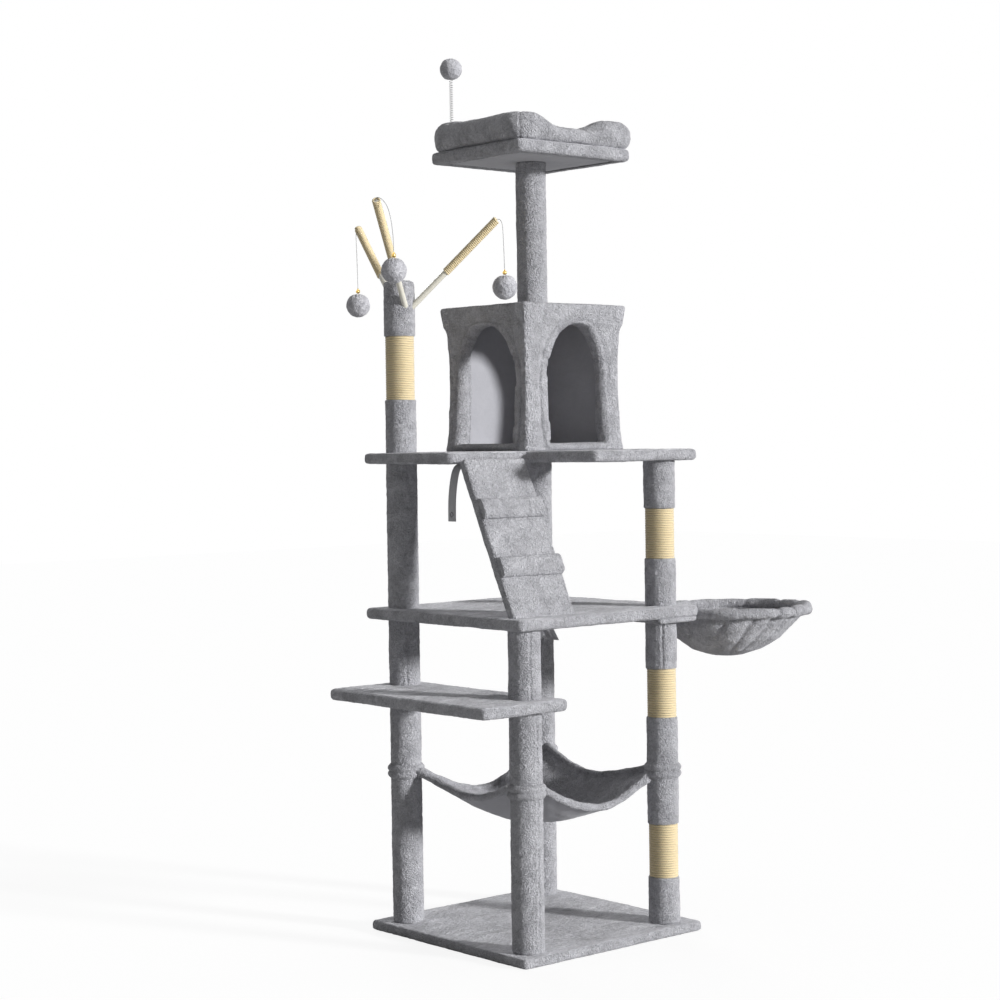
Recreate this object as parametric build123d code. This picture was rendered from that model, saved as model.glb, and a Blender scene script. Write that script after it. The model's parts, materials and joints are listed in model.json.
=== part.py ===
from build123d import *
import os
from math import cos, pi, radians, sin, sqrt, tan

# Cat tree. Millimetres, +Z up, origin under the middle of the base, -Y towards the front.

# Boards: a particle board core inside a plush cover
base_side = 500.0
board_core = 15.0
plush = 3.0
board_corner = 15.0
board_edge_round = 6.0
edge_land = 0.5
cut_past = 1.0
board = board_core + 2 * plush
step_x = (-358.0, -140.0)
step_y = (-262.0, 238.0)
notch_x = -42.0
notch_y = -37.0

# Posts: a cardboard tube in a plush wrap, or in wound sisal
post_x_left = -197.0
post_x_right = 188.0
post_y_front = -200.0
post_y_back = 188.0
tube_radius = 26.0
tube_wall = 4.0
wrap = 7.0
sisal = 5.0
base_to_step = 486.0
step_to_middle = 142.4
middle_to_upper = 309.9
toy_post_length = 365.7
toy_plug_length = 90.0
perch_post_length = 314.0
post_top_round = 8.0
right_bands_low = ((119.0, 231.0), (458.0, 560.0))
right_bands_high = ((794.0, 899.0),)
toy_band_drop = 118.0
toy_band_length = 134.0

# Fasteners
stud_radius = 4.0
stud_depth = 30.0
blind_depth = 14.0
hole_gap = 0.3
thread_gap = 0.1
plug_length = 34.0
bolt_head_radius = 8.0
bolt_head_height = 5.0
bolt_recess = 1.0
screw_radius = 2.0
screw_head_radius = 4.0
screw_head_height = 2.0

# Condo
condo_width = 288.0
condo_depth = 273.0
condo_height = 315.0
condo_waist = 9.0
condo_wall = 20.0
roof_thickness = 20.0
tower_x = 105.0
tower_y = 101.0
sill = 14.0
arch_spring_height = 148.0
arch_rise = 132.0
side_arch_width = 194.0
side_arch_y = 98.0
front_arch_width = 172.0
front_arch_x = 110.0
condo_screw_length = 38.0
back_screw_offsets = (-65.0, 25.0)
right_screw_offsets = (-60.0, 60.0)
front_screw_offsets = (-100.0, 117.0)

# Perch
perch_width = 318.0
perch_depth = 292.0
perch_plush = 5.0
bolster_width = 70.0
bolster_height = 51.0
bolster_overhang = 3.0
bolster_corner = 40.0
bolster_round = 22.0
front_dip = 25.0
front_dip_radius = 212.0
side_dip = 9.0
side_dip_radius = 700.0

# Spring toy
spring_radius = 4.1
spring_wire = 1.0
spring_pitch = 5.0
spring_turns = 20
foot_ball_radius = 2.8
foot_neck_radius = 1.6
foot_neck = 4.0
foot_collar_radius = 8.0
foot_collar = 3.0
foot_stem_radius = 4.0
spring_ball_radius = 24.0

# Toy wands: where each leaves the post (angle round it, drop below its top) and how it points
wand_radius = 6.25
wand_sisal_radius = 9.0
wand_sisal_length = 150.0
wand_inside = 8.0
wand_tip_radius = 2.5
wand_tip_length = 12.0
wand_angles = {"left": 64.9, "middle": 252.4, "right": 301.0}
left_wand_drop = 49.7
middle_wand_drop = 49.2
right_wand_drop = 52.4
wand_drops = {"left": left_wand_drop, "middle": middle_wand_drop, "right": right_wand_drop}
wand_headings = {"left": 79.8, "middle": 214.5, "right": 311.7}
wand_tilts = {"left": 43.7, "middle": 42.4, "right": 45.7}
left_wand_length = 246.5
middle_wand_length = 268.0
right_wand_length = 250.0
wand_lengths = {"left": left_wand_length, "middle": middle_wand_length, "right": right_wand_length}

# Strings of the wand toys. A route starts at the wand's end, and its points are offsets:
# along the string's own plane, across it, and up.
string_radius = 0.75
string_gap = 0.5
bell_radius = 4.75
bell_wall = 0.7
bell_slot = 1.2
bell_eye_radius = 1.6
bell_eye = 1.6
toy_ball_radius = 25.5
string_headings = {**wand_headings, "middle": -40.66}
string_routes = {
    "left": [(0, 0, 0), (4.5, 0, 3), (9, 0, 0.5), (11.3, 0, -7), (11.5, 0, -19), (10.5, 0, -38),
             (9, 0, -64), (7.6, 0, -91), (7, 0, -113), (6.8, 0, -130)],
    "middle": [(0, 0, 0), (-0.6, -2.6, 3.1), (1.6, -5.4, 5.2), (6, -7, 5), (12, -7.6, 1.5),
               (19, -8, -6), (25, -8.2, -18.5), (29.5, -8.3, -37), (32.6, -8.2, -60),
               (34.2, -8, -83), (34.2, -8, -106)],
    "right": [(0, 0, 0), (4.5, 0, 3), (9.3, 0, 1), (12.8, 0, -6), (14, 0, -17), (15, 0, -34),
              (15.6, 0, -59), (16.4, 0, -83), (16.6, 0, -104)],
}

# Ladder
ladder_x = -152.0
ladder_width = 165.0
ladder_run = 145.0
rung_length = 45.0
rung_height = 14.0
rung_round = 12.0
rung_starts = (89.0, 217.0)
hinge_pin_radius = 1.5
pin_gap = 0.05
pin_drop = 1.0
barrel_gap = 0.3
knuckle_radius = 3.5
leaf = 2.0
leaf_length = 30.0
hinge_width = 30.0
hinge_spacing = 60.0
hinge_shift = 14.5
hinge_front = 6.5
ladder_gap = 0.3
ladder_head = 3.0

# Hammock
hammock_low = 241.0
hammock_cloth = 8.0
hammock_bow = 40.0
sleeve_height = 28.0
sleeve_bulge = 8.0
sleeve_middle = 345.0
sleeve_seat = 4.0

# Basket
ring_x = 412.0
ring_y = -205.0
ring_radius = 150.0
ring_wire = 4.0
roll_radius = 11.0
ring_rise = 2.1
bowl_cloth = 5.0
hem_gap = 0.2
bowl_lean_angle = 139.34
bowl_mouth = 143.0
bowl_sections = ((32.0, 134.0, 12.0), (62.0, 111.0, 18.0), (85.0, 75.0, 21.0), (99.0, 34.0, 22.0))
bracket_thickness = 10.4
bracket_x = (133.0, 245.0)
bracket_y = (-255.0, -145.0)
bracket_steel = 3.0
bracket_inset = 6.0
tab_width = 30.0

# Straps: routes in a plane along X, as (x, drop below the board)
strap_cloth = 2.0
anti_tip_width = 24.0
anti_tip_y = -22.0
anti_tip_route = [(-190, 0), (-206, 0), (-219, 10), (-226, 34), (-230, 60), (-232, 84), (-232, 118)]
anti_tip_screw_x = -194.5
eyelet_height = 14.0
eyelet_outer = 5.5
eyelet_bore = 2.7
eyelet_length = 3.0
tail_width = 16.0
tail_y = 142.0
tail_route = [(142, 0), (160, 0), (171, 15), (180, 40), (199, 71)]
tail_screw_x = 147.0

# Levels
base_top = board
step_bottom = base_top + base_to_step
step_top = step_bottom + board
middle_bottom = step_top + step_to_middle
middle_top = middle_bottom + board
upper_bottom = middle_top + middle_to_upper
upper_top = upper_bottom + board
toy_post_top = upper_top + toy_post_length
condo_top = upper_top + condo_height
perch_bottom = condo_top + perch_post_length
perch_top = perch_bottom + board_core + 2 * perch_plush
bracket_bottom = middle_bottom - bracket_thickness
post_radius = tube_radius + wrap
plug_radius = tube_radius - tube_wall
half = base_side / 2

os.makedirs("parts", exist_ok=True)


def save(name, *solids):
    """Write one sub-part, made of one or more separate solids."""
    export_step(Compound(children=list(solids), label=name), f"parts/{name}.step")


def cylinder(x, y, bottom, top, radius):
    """An upright cylinder between two levels."""
    return Pos(x, y, bottom) * extrude(Circle(radius), top - bottom)


def tube(x, y, bottom, top, outer, inner):
    """An upright tube between two levels."""
    return Pos(x, y, bottom) * extrude(Circle(outer) - Circle(inner), top - bottom)


def box(low, high):
    """A box between two corners."""
    size = [b - a for a, b in zip(low, high)]
    middle = [(a + b) / 2 for a, b in zip(low, high)]
    return Pos(*middle) * Box(*size)


def rod(start, direction, begin, end, radius):
    """A round bar along a line through start, between two distances along it."""
    plane = Plane(origin=start + direction * begin, z_dir=direction)
    return plane * extrude(Circle(radius), end - begin)


def route_wire(points):
    """Straight runs joined by tangent arcs, each as large as its two runs allow."""
    radii = []
    for before, here, after in zip(points, points[1:], points[2:]):
        run_in = here - before
        run_out = after - here
        half_turn = radians(run_in.get_angle(run_out)) / 2
        radii.append(0.45 * min(run_in.length, run_out.length) / tan(half_turn))
    print("  radii", [round(r, 1) for r in radii])
    return FilletPolyline(*points, radius=radii)


# Boards and covers -----------------------------------------------------------------------------

def plate_outline(x_range, y_range, inset, notched):
    """A board's outline, rounded at its corners, with the front left corner cut out if notched."""
    middle = ((x_range[0] + x_range[1]) / 2, (y_range[0] + y_range[1]) / 2)
    width = x_range[1] - x_range[0] - 2 * inset
    depth = y_range[1] - y_range[0] - 2 * inset
    outline = Pos(*middle) * Rectangle(width, depth)
    if notched:
        corner = (x_range[0] - cut_past, y_range[0] - cut_past)
        cut = (notch_x + inset - corner[0], notch_y + inset - corner[1])
        outline -= Pos(corner[0] + cut[0] / 2, corner[1] + cut[1] / 2) * Rectangle(*cut)
    return fillet(outline.vertices(), board_corner - inset)


def covered_board(name, x_range, y_range, bottom, holes, skin=plush, notched=False, recess=()):
    """A board core and its cover; holes are (x, y, low, high, radius), recess cuts the cover too."""
    core = Pos(0, 0, bottom + skin) * extrude(plate_outline(x_range, y_range, skin, notched), board_core)
    cover = Pos(0, 0, bottom) * extrude(
        plate_outline(x_range, y_range, 0, notched), board_core + 2 * skin)
    flat = cover.edges().group_by(Axis.Z)
    cover = fillet(flat[0] + flat[-1], min(board_edge_round, board_core / 2 + skin - edge_land))
    cover -= core
    for x, y, low, high, radius in holes:
        drill = cylinder(x, y, low, high, radius)
        core -= drill
        cover -= drill
    save(name + "_board", core)
    save(name + "_cover", cover)


side = (-half, half)
front_post = (post_x_left, post_y_front)
left_post = (post_x_left, post_y_back)
right_post = (post_x_right, post_y_front)
back_post = (post_x_right, post_y_back)
stud_hole = stud_radius + hole_gap


def through(post, bottom, thickness=board):
    """A stud's hole right through a board."""
    return (*post, bottom - cut_past, bottom + thickness + cut_past, stud_hole)


def blind(post, bottom):
    """A stud's hole up into a board's core, from below."""
    return (*post, bottom - cut_past, bottom + blind_depth, stud_radius + thread_gap)


base_holes = []
for post in (front_post, left_post, right_post, back_post):
    base_holes.append(through(post, 0))
    base_holes.append((*post, -1, bolt_recess + bolt_head_height, bolt_head_radius + hole_gap))

back_row = tower_y + condo_depth / 2 - condo_wall / 2
right_row = tower_x + condo_width / 2 - condo_wall / 2
front_row = tower_y - condo_depth / 2 + condo_wall / 2
condo_screws = [(tower_x + offset, back_row) for offset in back_screw_offsets]
condo_screws += [(right_row, tower_y + offset) for offset in right_screw_offsets]
condo_screws += [(tower_x + offset, front_row) for offset in front_screw_offsets]
upper_holes = [through(left_post, upper_bottom), blind(right_post, upper_bottom),
               blind(back_post, upper_bottom)]
for spot in condo_screws:
    upper_holes.append((*spot, upper_bottom - cut_past, upper_top + cut_past, screw_radius + thread_gap))
    upper_holes.append(
        (*spot, upper_bottom - cut_past, upper_bottom + screw_head_height, screw_head_radius + thread_gap))

# The hinges sit off the ladder's middle, clear of the strap that is screwed beside it.
hinge_centres = [ladder_x + hinge_shift - hinge_spacing / 2, ladder_x + hinge_shift + hinge_spacing / 2]
leaf_screw_y = notch_y + leaf_length / 2
strap_screws = [(anti_tip_screw_x, anti_tip_y, upper_bottom, strap_cloth),
                (tail_screw_x, tail_y, middle_bottom, strap_cloth)]
leaf_screws = []
for centre in hinge_centres:
    for offset in (-hinge_width / 4, hinge_width / 4):
        leaf_screws.append((centre + offset, leaf_screw_y, upper_bottom, leaf))
short_screw = board / 2
for x, y, level, _ in strap_screws[:1] + leaf_screws:
    upper_holes.append((x, y, level - cut_past, level + short_screw, screw_radius + thread_gap))

covered_board("base", side, side, 0, base_holes)
covered_board("step", step_x, step_y, step_bottom,
              [through(left_post, step_bottom), through(front_post, step_bottom)])
covered_board("middle_platform", side, side, middle_bottom,
              [through(left_post, middle_bottom), blind(front_post, middle_bottom),
               through(right_post, middle_bottom), through(back_post, middle_bottom),
               (tail_screw_x, tail_y, middle_bottom - cut_past, middle_bottom + short_screw,
                screw_radius + thread_gap)])
covered_board("upper_platform", side, side, upper_bottom, upper_holes, notched=True)

# Posts -----------------------------------------------------------------------------------------

tower = (tower_x, tower_y)
tube_top = toy_post_top - wrap
segments = {
    "left": [(left_post, base_top, step_bottom), (left_post, step_top, middle_bottom),
             (left_post, middle_top, upper_bottom), (left_post, upper_top, tube_top)],
    "front": [(front_post, base_top, step_bottom), (front_post, step_top, middle_bottom)],
    "right": [(right_post, base_top, bracket_bottom), (right_post, middle_top, upper_bottom)],
    "back": [(back_post, base_top, middle_bottom), (back_post, middle_top, upper_bottom)],
    "perch": [(tower, condo_top, perch_bottom)],
}
toy_band_top = toy_post_top - toy_band_drop
bands = {"left": [(toy_band_top - toy_band_length, toy_band_top)],
         "right": [*right_bands_low, *right_bands_high]}


def wand_line(name):
    """Where a wand crosses the post's surface, and the direction it points."""
    angle, heading, tilt = (radians(v[name]) for v in (wand_angles, wand_headings, wand_tilts))
    start = Vector(left_post[0] + post_radius * cos(angle), left_post[1] + post_radius * sin(angle),
                   toy_post_top - wand_drops[name])
    aim = Vector(sin(tilt) * cos(heading), sin(tilt) * sin(heading), cos(tilt))
    return start, aim


def wand_socket(name):
    """The stepped hole that holds a wand."""
    start, aim = wand_line(name)
    wide = rod(start, aim, -wand_inside, 4 * wand_radius, wand_radius + hole_gap)
    narrow = rod(start, aim, -wand_inside - wand_tip_length - hole_gap, 0,
                 wand_tip_radius + thread_gap)
    return wide + narrow


sockets = [wand_socket(name) for name in wand_lengths]


def is_toy_post(piece):
    """Whether a segment is the top one of the left post, which holds the wands."""
    return piece[2] == tube_top


def wrap_solids(name, piece):
    """The plush wrap of one tube, left out where the tube is wound with sisal."""
    (x, y), low, high = piece
    levels = [low]
    for band_low, band_high in bands.get(name, []):
        if low < band_low < high:
            levels += [band_low, band_high]
    levels.append(high)
    solids = [tube(x, y, a, b, post_radius, tube_radius) for a, b in zip(levels[::2], levels[1::2])]
    if is_toy_post(piece):
        cap = cylinder(x, y, levels[-2], toy_post_top, post_radius)
        cap = fillet(cap.edges().sort_by(Axis.Z)[-1], post_top_round)
        solids[-1] = cap - cylinder(x, y, levels[-2], tube_top, tube_radius) - sockets
    return solids


tubes = []
plugs = []
for name, pieces in segments.items():
    for piece in pieces:
        (x, y), low, high = piece
        body = tube(x, y, low, high, tube_radius, plug_radius)
        tubes.append(body - sockets if is_toy_post(piece) else body)
        ends = [low] if is_toy_post(piece) else [low, high - plug_length]
        plugs += [tube(x, y, z, z + plug_length, plug_radius, stud_radius + thread_gap) for z in ends]
    save(name + "_post_cover", *[s for piece in pieces for s in wrap_solids(name, piece)])
save("post_tubes", *tubes)
save("post_end_plugs", *plugs)

toy_plug = cylinder(*left_post, tube_top - toy_plug_length, tube_top, plug_radius)
save("toy_post_plug", toy_plug - sockets)
for name, levels in bands.items():
    post = {"left": left_post, "right": right_post}[name]
    save(name + "_post_sisal",
         *[tube(*post, a, b, tube_radius + sisal, tube_radius) for a, b in levels])

# Fasteners -------------------------------------------------------------------------------------

joints = [(left_post, step_bottom, step_top), (left_post, middle_bottom, middle_top),
          (left_post, upper_bottom, upper_top), (front_post, step_bottom, step_top),
          (right_post, bracket_bottom, middle_top), (back_post, middle_bottom, middle_top)]
studs = [cylinder(*post, low - stud_depth, high + stud_depth, stud_radius) for post, low, high in joints]
for post, low in ((front_post, middle_bottom), (right_post, upper_bottom), (back_post, upper_bottom),
                  (tower, perch_bottom)):
    studs.append(cylinder(*post, low - stud_depth, low + blind_depth, stud_radius))
studs.append(cylinder(*tower, condo_top - blind_depth, condo_top + stud_depth, stud_radius))
save("joining_studs", *studs)

base_bolts = []
for post in (front_post, left_post, right_post, back_post):
    head = cylinder(*post, bolt_recess, bolt_recess + bolt_head_height, bolt_head_radius)
    base_bolts.append(head + cylinder(*post, bolt_recess, base_top + stud_depth, stud_radius))
save("base_bolts", *base_bolts)


def screw(x, y, head_bottom, length):
    """A wood screw driven upwards."""
    head = cylinder(x, y, head_bottom, head_bottom + screw_head_height, screw_head_radius)
    return head + cylinder(x, y, head_bottom, head_bottom + length, screw_radius)


save("condo_screws", *[screw(*spot, upper_bottom, condo_screw_length) for spot in condo_screws])
save("underside_screws",
     *[screw(x, y, level - thick - screw_head_height, thick + screw_head_height + short_screw)
       for x, y, level, thick in strap_screws + leaf_screws])

# Condo -----------------------------------------------------------------------------------------


def waisted(length, bottom, top, inset):
    """A rectangle with its two upright sides pulled in as arcs over the whole condo height."""
    radius = (condo_height**2 / 4 + condo_waist**2) / (2 * condo_waist)
    middle = upper_top + condo_height / 2
    edge = length / 2 - inset
    shape = Pos(0, (bottom + top) / 2) * Rectangle(2 * edge, top - bottom)
    for hand in (-1, 1):
        shape -= Pos(hand * (edge - condo_waist + radius), middle) * Circle(radius)
    return shape


def waisted_box(bottom, top, inset):
    """The condo's form between two levels, drawn in by inset on all four sides."""
    across = extrude(Plane.XZ * waisted(condo_width, bottom, top, inset), condo_depth, both=True)
    along = extrude(Plane.YZ * waisted(condo_depth, bottom, top, inset), condo_width, both=True)
    return Pos(tower_x, tower_y) * (across & along)


def arch(width):
    """A doorway's outline: upright sides under half an ellipse, with its foot at the sill."""
    low = upper_top + sill
    spring = upper_top + arch_spring_height
    top = Pos(0, spring) * Ellipse(width / 2, arch_rise)
    return Pos(0, (low + spring) / 2) * Rectangle(width, spring - low) + top


walls_top = condo_top - roof_thickness
shell = waisted_box(upper_top, walls_top, 0) - waisted_box(upper_top, walls_top, condo_wall)
# The doors' cutters start inside the condo and run out through one wall each.
side_door = extrude(Plane.YZ * Pos(side_arch_y, 0) * arch(side_arch_width), -half)
front_door = extrude(Plane.XZ * Pos(front_arch_x, 0) * arch(front_arch_width), half)
shell -= Pos(tower_x, 0, 0) * side_door
shell -= Pos(0, tower_y, 0) * front_door
for spot in condo_screws:
    shell -= cylinder(*spot, upper_top - cut_past, upper_bottom + condo_screw_length,
                      screw_radius + thread_gap)

reach_x = condo_width / 2
reach_y = condo_depth / 2
mitre = 2 * condo_wall
corners = {(i, j): (tower_x + i * reach_x, tower_y + j * reach_y) for i in (-1, 1) for j in (-1, 1)}


def wall_wedge(first, second):
    """A prism over one wall, cut off at 45 degrees at its two corners."""
    outer = [(corners[c][0] + c[0] * mitre, corners[c][1] + c[1] * mitre) for c in (first, second)]
    inner = [(corners[c][0] - c[0] * mitre, corners[c][1] - c[1] * mitre) for c in (second, first)]
    return Pos(0, 0, upper_top) * extrude(make_face(Polyline(*outer, *inner, close=True)), condo_height)


wall_corners = {"left": ((-1, -1), (-1, 1)), "front": ((-1, -1), (1, -1)),
                "right": ((1, -1), (1, 1)), "back": ((-1, 1), (1, 1))}
for name, (first, second) in wall_corners.items():
    save(f"condo_{name}_wall", shell & wall_wedge(first, second))
roof = waisted_box(walls_top, condo_top, 0)
roof -= cylinder(*tower, condo_top - blind_depth, condo_top + cut_past, stud_radius + thread_gap)
save("condo_roof", roof)

# Perch -----------------------------------------------------------------------------------------

perch_x_range = (tower_x - perch_width / 2, tower_x + perch_width / 2)
perch_y_range = (tower_y - perch_depth / 2, tower_y + perch_depth / 2)
covered_board("perch", perch_x_range, perch_y_range, perch_bottom,
              [blind(tower, perch_bottom)], skin=perch_plush)

bolster_x = perch_width / 2 + bolster_overhang
bolster_y = perch_depth / 2 + bolster_overhang
bolster_top = perch_top + bolster_height
outside = extrude(RectangleRounded(2 * bolster_x, 2 * bolster_y, bolster_corner), bolster_height)
inside = extrude(RectangleRounded(2 * (bolster_x - bolster_width), 2 * (bolster_y - bolster_width),
                                  bolster_corner / 2), bolster_height)
ring = outside - inside
ring = fillet(ring.edges().group_by(Axis.Z)[-1], bolster_round)
front_cut = Pos(0, -bolster_y + bolster_width / 2, bolster_height - front_dip + front_dip_radius)
ring -= front_cut * Rot(90, 0, 0) * Cylinder(front_dip_radius, bolster_width + 2 * cut_past)
back_cut = Pos(0, bolster_y - bolster_width / 2, bolster_height - side_dip + side_dip_radius)
ring -= back_cut * Rot(90, 0, 0) * Cylinder(side_dip_radius, bolster_width + 2 * cut_past)
for hand in (-1, 1):
    side_cut = Pos(hand * (bolster_x - bolster_width / 2), 0,
                   bolster_height - side_dip + side_dip_radius)
    ring -= side_cut * Rot(0, 90, 0) * Cylinder(side_dip_radius, bolster_width + 2 * cut_past)

foot_x = tower_x - bolster_x + bolster_width / 2
foot_y = tower_y + bolster_y - bolster_width / 2
stem_hole = cylinder(foot_x, foot_y, perch_top - cut_past, bolster_top + cut_past,
                     foot_stem_radius + hole_gap)
save("perch_bolster", Pos(tower_x, tower_y, perch_top) * ring - stem_hole)

# Spring toy ------------------------------------------------------------------------------------

collar_bottom = bolster_top
pivot_z = collar_bottom + foot_collar + foot_neck
foot = cylinder(foot_x, foot_y, perch_top, collar_bottom, foot_stem_radius)
foot += cylinder(foot_x, foot_y, collar_bottom, collar_bottom + foot_collar, foot_collar_radius)
foot += cylinder(foot_x, foot_y, collar_bottom, pivot_z, foot_neck_radius)
foot += Pos(foot_x, foot_y, pivot_z) * Sphere(foot_ball_radius)
save("spring_foot", foot)

coil = spring_radius - spring_wire / 2
helix = Helix(spring_pitch, spring_pitch * spring_turns, coil)
coil_start = Plane(origin=helix @ 0, z_dir=helix % 0)
spring_bottom = pivot_z - spring_wire / 2
spring = sweep(coil_start * Circle(spring_wire / 2), helix)
save("toy_spring", Pos(foot_x, foot_y, spring_bottom) * spring)
spring_top = spring_bottom + spring_pitch * spring_turns
ball_z = spring_top + spring_ball_radius
seat = cylinder(foot_x, foot_y, spring_top - spring_wire, spring_top + spring_wire + 2 * hole_gap,
                spring_radius + hole_gap)
save("spring_ball", Pos(foot_x, foot_y, ball_z) * Sphere(spring_ball_radius) - seat)

# Toy wands -------------------------------------------------------------------------------------

wand_bars = []
wand_ropes = []
for name, length in wand_lengths.items():
    start, aim = wand_line(name)
    bar = rod(start, aim, -wand_inside, length, wand_radius)
    wand_bars.append(bar + rod(start, aim, -wand_inside - wand_tip_length, -wand_inside, wand_tip_radius))
    rope = rod(start, aim, length - wand_sisal_length, length, wand_sisal_radius)
    wand_ropes.append(rope - rod(start, aim, length - wand_sisal_length, length, wand_radius))
save("wand_rods", *wand_bars)
save("wand_sisal", *wand_ropes)

for name, offsets in string_routes.items():
    start, aim = wand_line(name)
    exit_point = start + aim * (wand_lengths[name] + string_gap)
    turn = radians(string_headings[name])
    along = Vector(cos(turn), sin(turn), 0)
    across = Vector(-sin(turn), cos(turn), 0)
    points = [exit_point + along * a + across * b + Vector(0, 0, c) for a, b, c in offsets]
    path = route_wire(points)
    cord = sweep(Plane(origin=path @ 0, z_dir=path % 0) * Circle(string_radius), path)
    print(name, "string", round(path.length, 1), "mm, volume share",
          round(cord.volume / (path.length * pi * string_radius**2), 4),
          "exit", [round(v, 2) for v in exit_point])
    save(f"{name}_toy_string", cord)
    x, y, z = points[-1]
    bell_z = z - bell_eye - bell_radius
    bell = Pos(x, y, bell_z) * (Sphere(bell_radius) - Sphere(bell_radius - bell_wall)
                                - Pos(0, 0, -bell_radius) * Box(bell_slot, 2 * bell_radius, bell_radius))
    eye = cylinder(x, y, bell_z + bell_radius - bell_wall, z, bell_eye_radius)
    save(f"{name}_toy_bell", bell + eye)
    ball_centre = Vector(x, y, bell_z - bell_radius - toy_ball_radius)
    save(f"{name}_toy_ball", Pos(*ball_centre) * Sphere(toy_ball_radius))
    print(name, "ball centre", [round(v, 2) for v in ball_centre])

# Ladder ----------------------------------------------------------------------------------------

pin_y = notch_y - hinge_front
pin_z = upper_bottom - leaf - pin_drop
ladder_drop = pin_z - middle_top
slope = sqrt(ladder_run**2 + ladder_drop**2)
down = Vector(0, -ladder_run / slope, -ladder_drop / slope)
face = Vector(0, -ladder_drop / slope, ladder_run / slope)
ladder_frame = Plane(origin=(ladder_x, pin_y, pin_z), x_dir=(1, 0, 0), z_dir=face)
# In this frame x runs across the ladder, y runs up it, and z points out of its climbing face.
back_face = knuckle_radius + ladder_gap
below_platform = box((-base_side, -base_side, 0), (base_side, base_side, middle_top))


def on_ladder(begin, end, low, high, inset=0.0):
    """A block on the ladder between two distances down it and two heights above its back."""
    width = ladder_width - 2 * inset
    middle = (0, -(begin + end) / 2, back_face + (low + high) / 2)
    return ladder_frame * (Pos(*middle) * Box(width, end - begin, high - low))


def rounded(block, radius):
    """A block with all its edges rounded."""
    return fillet(block.edges(), radius)


ladder_end = slope + 2 * board
ladder_core = on_ladder(-ladder_head + plush, ladder_end, plush, board - plush, plush)
ladder_core -= Pos(0, 0, plush) * below_platform
cover_outside = rounded(on_ladder(-ladder_head, ladder_end, 0, board), plush) - below_platform
save("ladder_board", ladder_core)
save("ladder_cover", cover_outside - ladder_core)
rungs = []
for begin in rung_starts:
    block = on_ladder(begin, begin + rung_length, board, board + rung_height)
    across = block.edges().filter_by(Axis.X)
    climbing_edges = across.sort_by(Axis.Z)[-1:] + across.sort_by(Axis.Y)[:1]
    rungs.append(fillet(climbing_edges, rung_round))
save("ladder_rungs", *rungs)


def knuckle(left, right):
    """One barrel of a hinge, between two x places, bored for its pin."""
    plane = Plane(origin=(left, pin_y, pin_z), x_dir=(0, 1, 0), z_dir=(1, 0, 0))
    ring_face = Circle(knuckle_radius) - Circle(hinge_pin_radius + pin_gap)
    return plane * extrude(ring_face, right - left)


ladder_leaves = []
platform_leaves = []
pins = []
third = hinge_width / 3
for centre in hinge_centres:
    left = centre - hinge_width / 2
    plate = ladder_frame * (Pos(centre - ladder_x, -leaf_length / 2, back_face - leaf / 2)
                            * Box(hinge_width, leaf_length, leaf))
    opening = Plane(origin=(left + third, pin_y, pin_z), x_dir=(0, 1, 0), z_dir=(1, 0, 0))
    opening = opening * extrude(Circle(knuckle_radius + barrel_gap), third)
    bore = Plane(origin=(left, pin_y, pin_z), x_dir=(0, 1, 0), z_dir=(1, 0, 0))
    bore = bore * extrude(Circle(hinge_pin_radius + pin_gap), hinge_width)
    ladder_leaves.append(plate + knuckle(left, left + third - barrel_gap)
                         + knuckle(left + 2 * third + barrel_gap, left + hinge_width)
                         - opening - bore)
    plate = box((centre - hinge_width / 2, pin_y, upper_bottom - leaf),
                (centre + hinge_width / 2, notch_y + leaf_length, upper_bottom))
    for begin, end in ((left, left + third), (left + 2 * third, left + hinge_width)):
        plate -= box((begin - cut_past, pin_y - knuckle_radius, upper_bottom - leaf - cut_past),
                     (end + (0 if end > centre else barrel_gap), pin_y + knuckle_radius + barrel_gap,
                      upper_bottom + cut_past))
    plate += knuckle(left + third, left + 2 * third)
    plate -= bore
    for x, y, _, _ in leaf_screws:
        plate -= cylinder(x, y, upper_bottom - leaf - cut_past, upper_bottom + cut_past,
                          screw_radius + thread_gap)
    platform_leaves.append(plate)
    pins.append(Plane(origin=(left, pin_y, pin_z), x_dir=(0, 1, 0), z_dir=(1, 0, 0))
                * extrude(Circle(hinge_pin_radius), hinge_width))
save("ladder_hinge_leaves", *ladder_leaves)
save("platform_hinge_leaves", *platform_leaves)
save("hinge_pins", *pins)
print("ladder pin", round(pin_y, 2), round(pin_z, 2))

# Hammock ---------------------------------------------------------------------------------------

middle_x = (post_x_left + post_x_right) / 2
middle_y = (post_y_front + post_y_back) / 2
span_x = (post_x_right - post_x_left) / 2
span_y = (post_y_back - post_y_front) / 2
sleeve_low = sleeve_middle - sleeve_height / 2
sleeve_high = sleeve_middle + sleeve_height / 2
# The cloth is part of a sphere, from its lowest point up to its seat on the sleeves.
seat_reach = sqrt(span_x**2 + span_y**2) - post_radius - sleeve_bulge
seat_rise = sleeve_low + sleeve_seat - hammock_low
hammock_radius = (seat_reach**2 + seat_rise**2) / (2 * seat_rise)
sphere_z = hammock_low + hammock_radius
cloth = Sphere(hammock_radius + hammock_cloth / 2) - Sphere(hammock_radius - hammock_cloth / 2)
outline = Rectangle(2 * span_x, 2 * span_y)
for reach, other, turned in ((span_y, span_x, 0), (span_x, span_y, 90)):
    bow_radius = (other**2 + hammock_bow**2) / (2 * hammock_bow)
    for hand in (-1, 1):
        offset = hand * (reach - hammock_bow + bow_radius)
        outline -= Rot(0, 0, turned) * Pos(0, offset) * Circle(bow_radius)
sheet = Pos(middle_x, middle_y, sphere_z) * cloth
sheet &= Pos(middle_x, middle_y, hammock_low - hammock_cloth) * extrude(outline, sphere_z / 3)
sleeves = []
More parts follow.
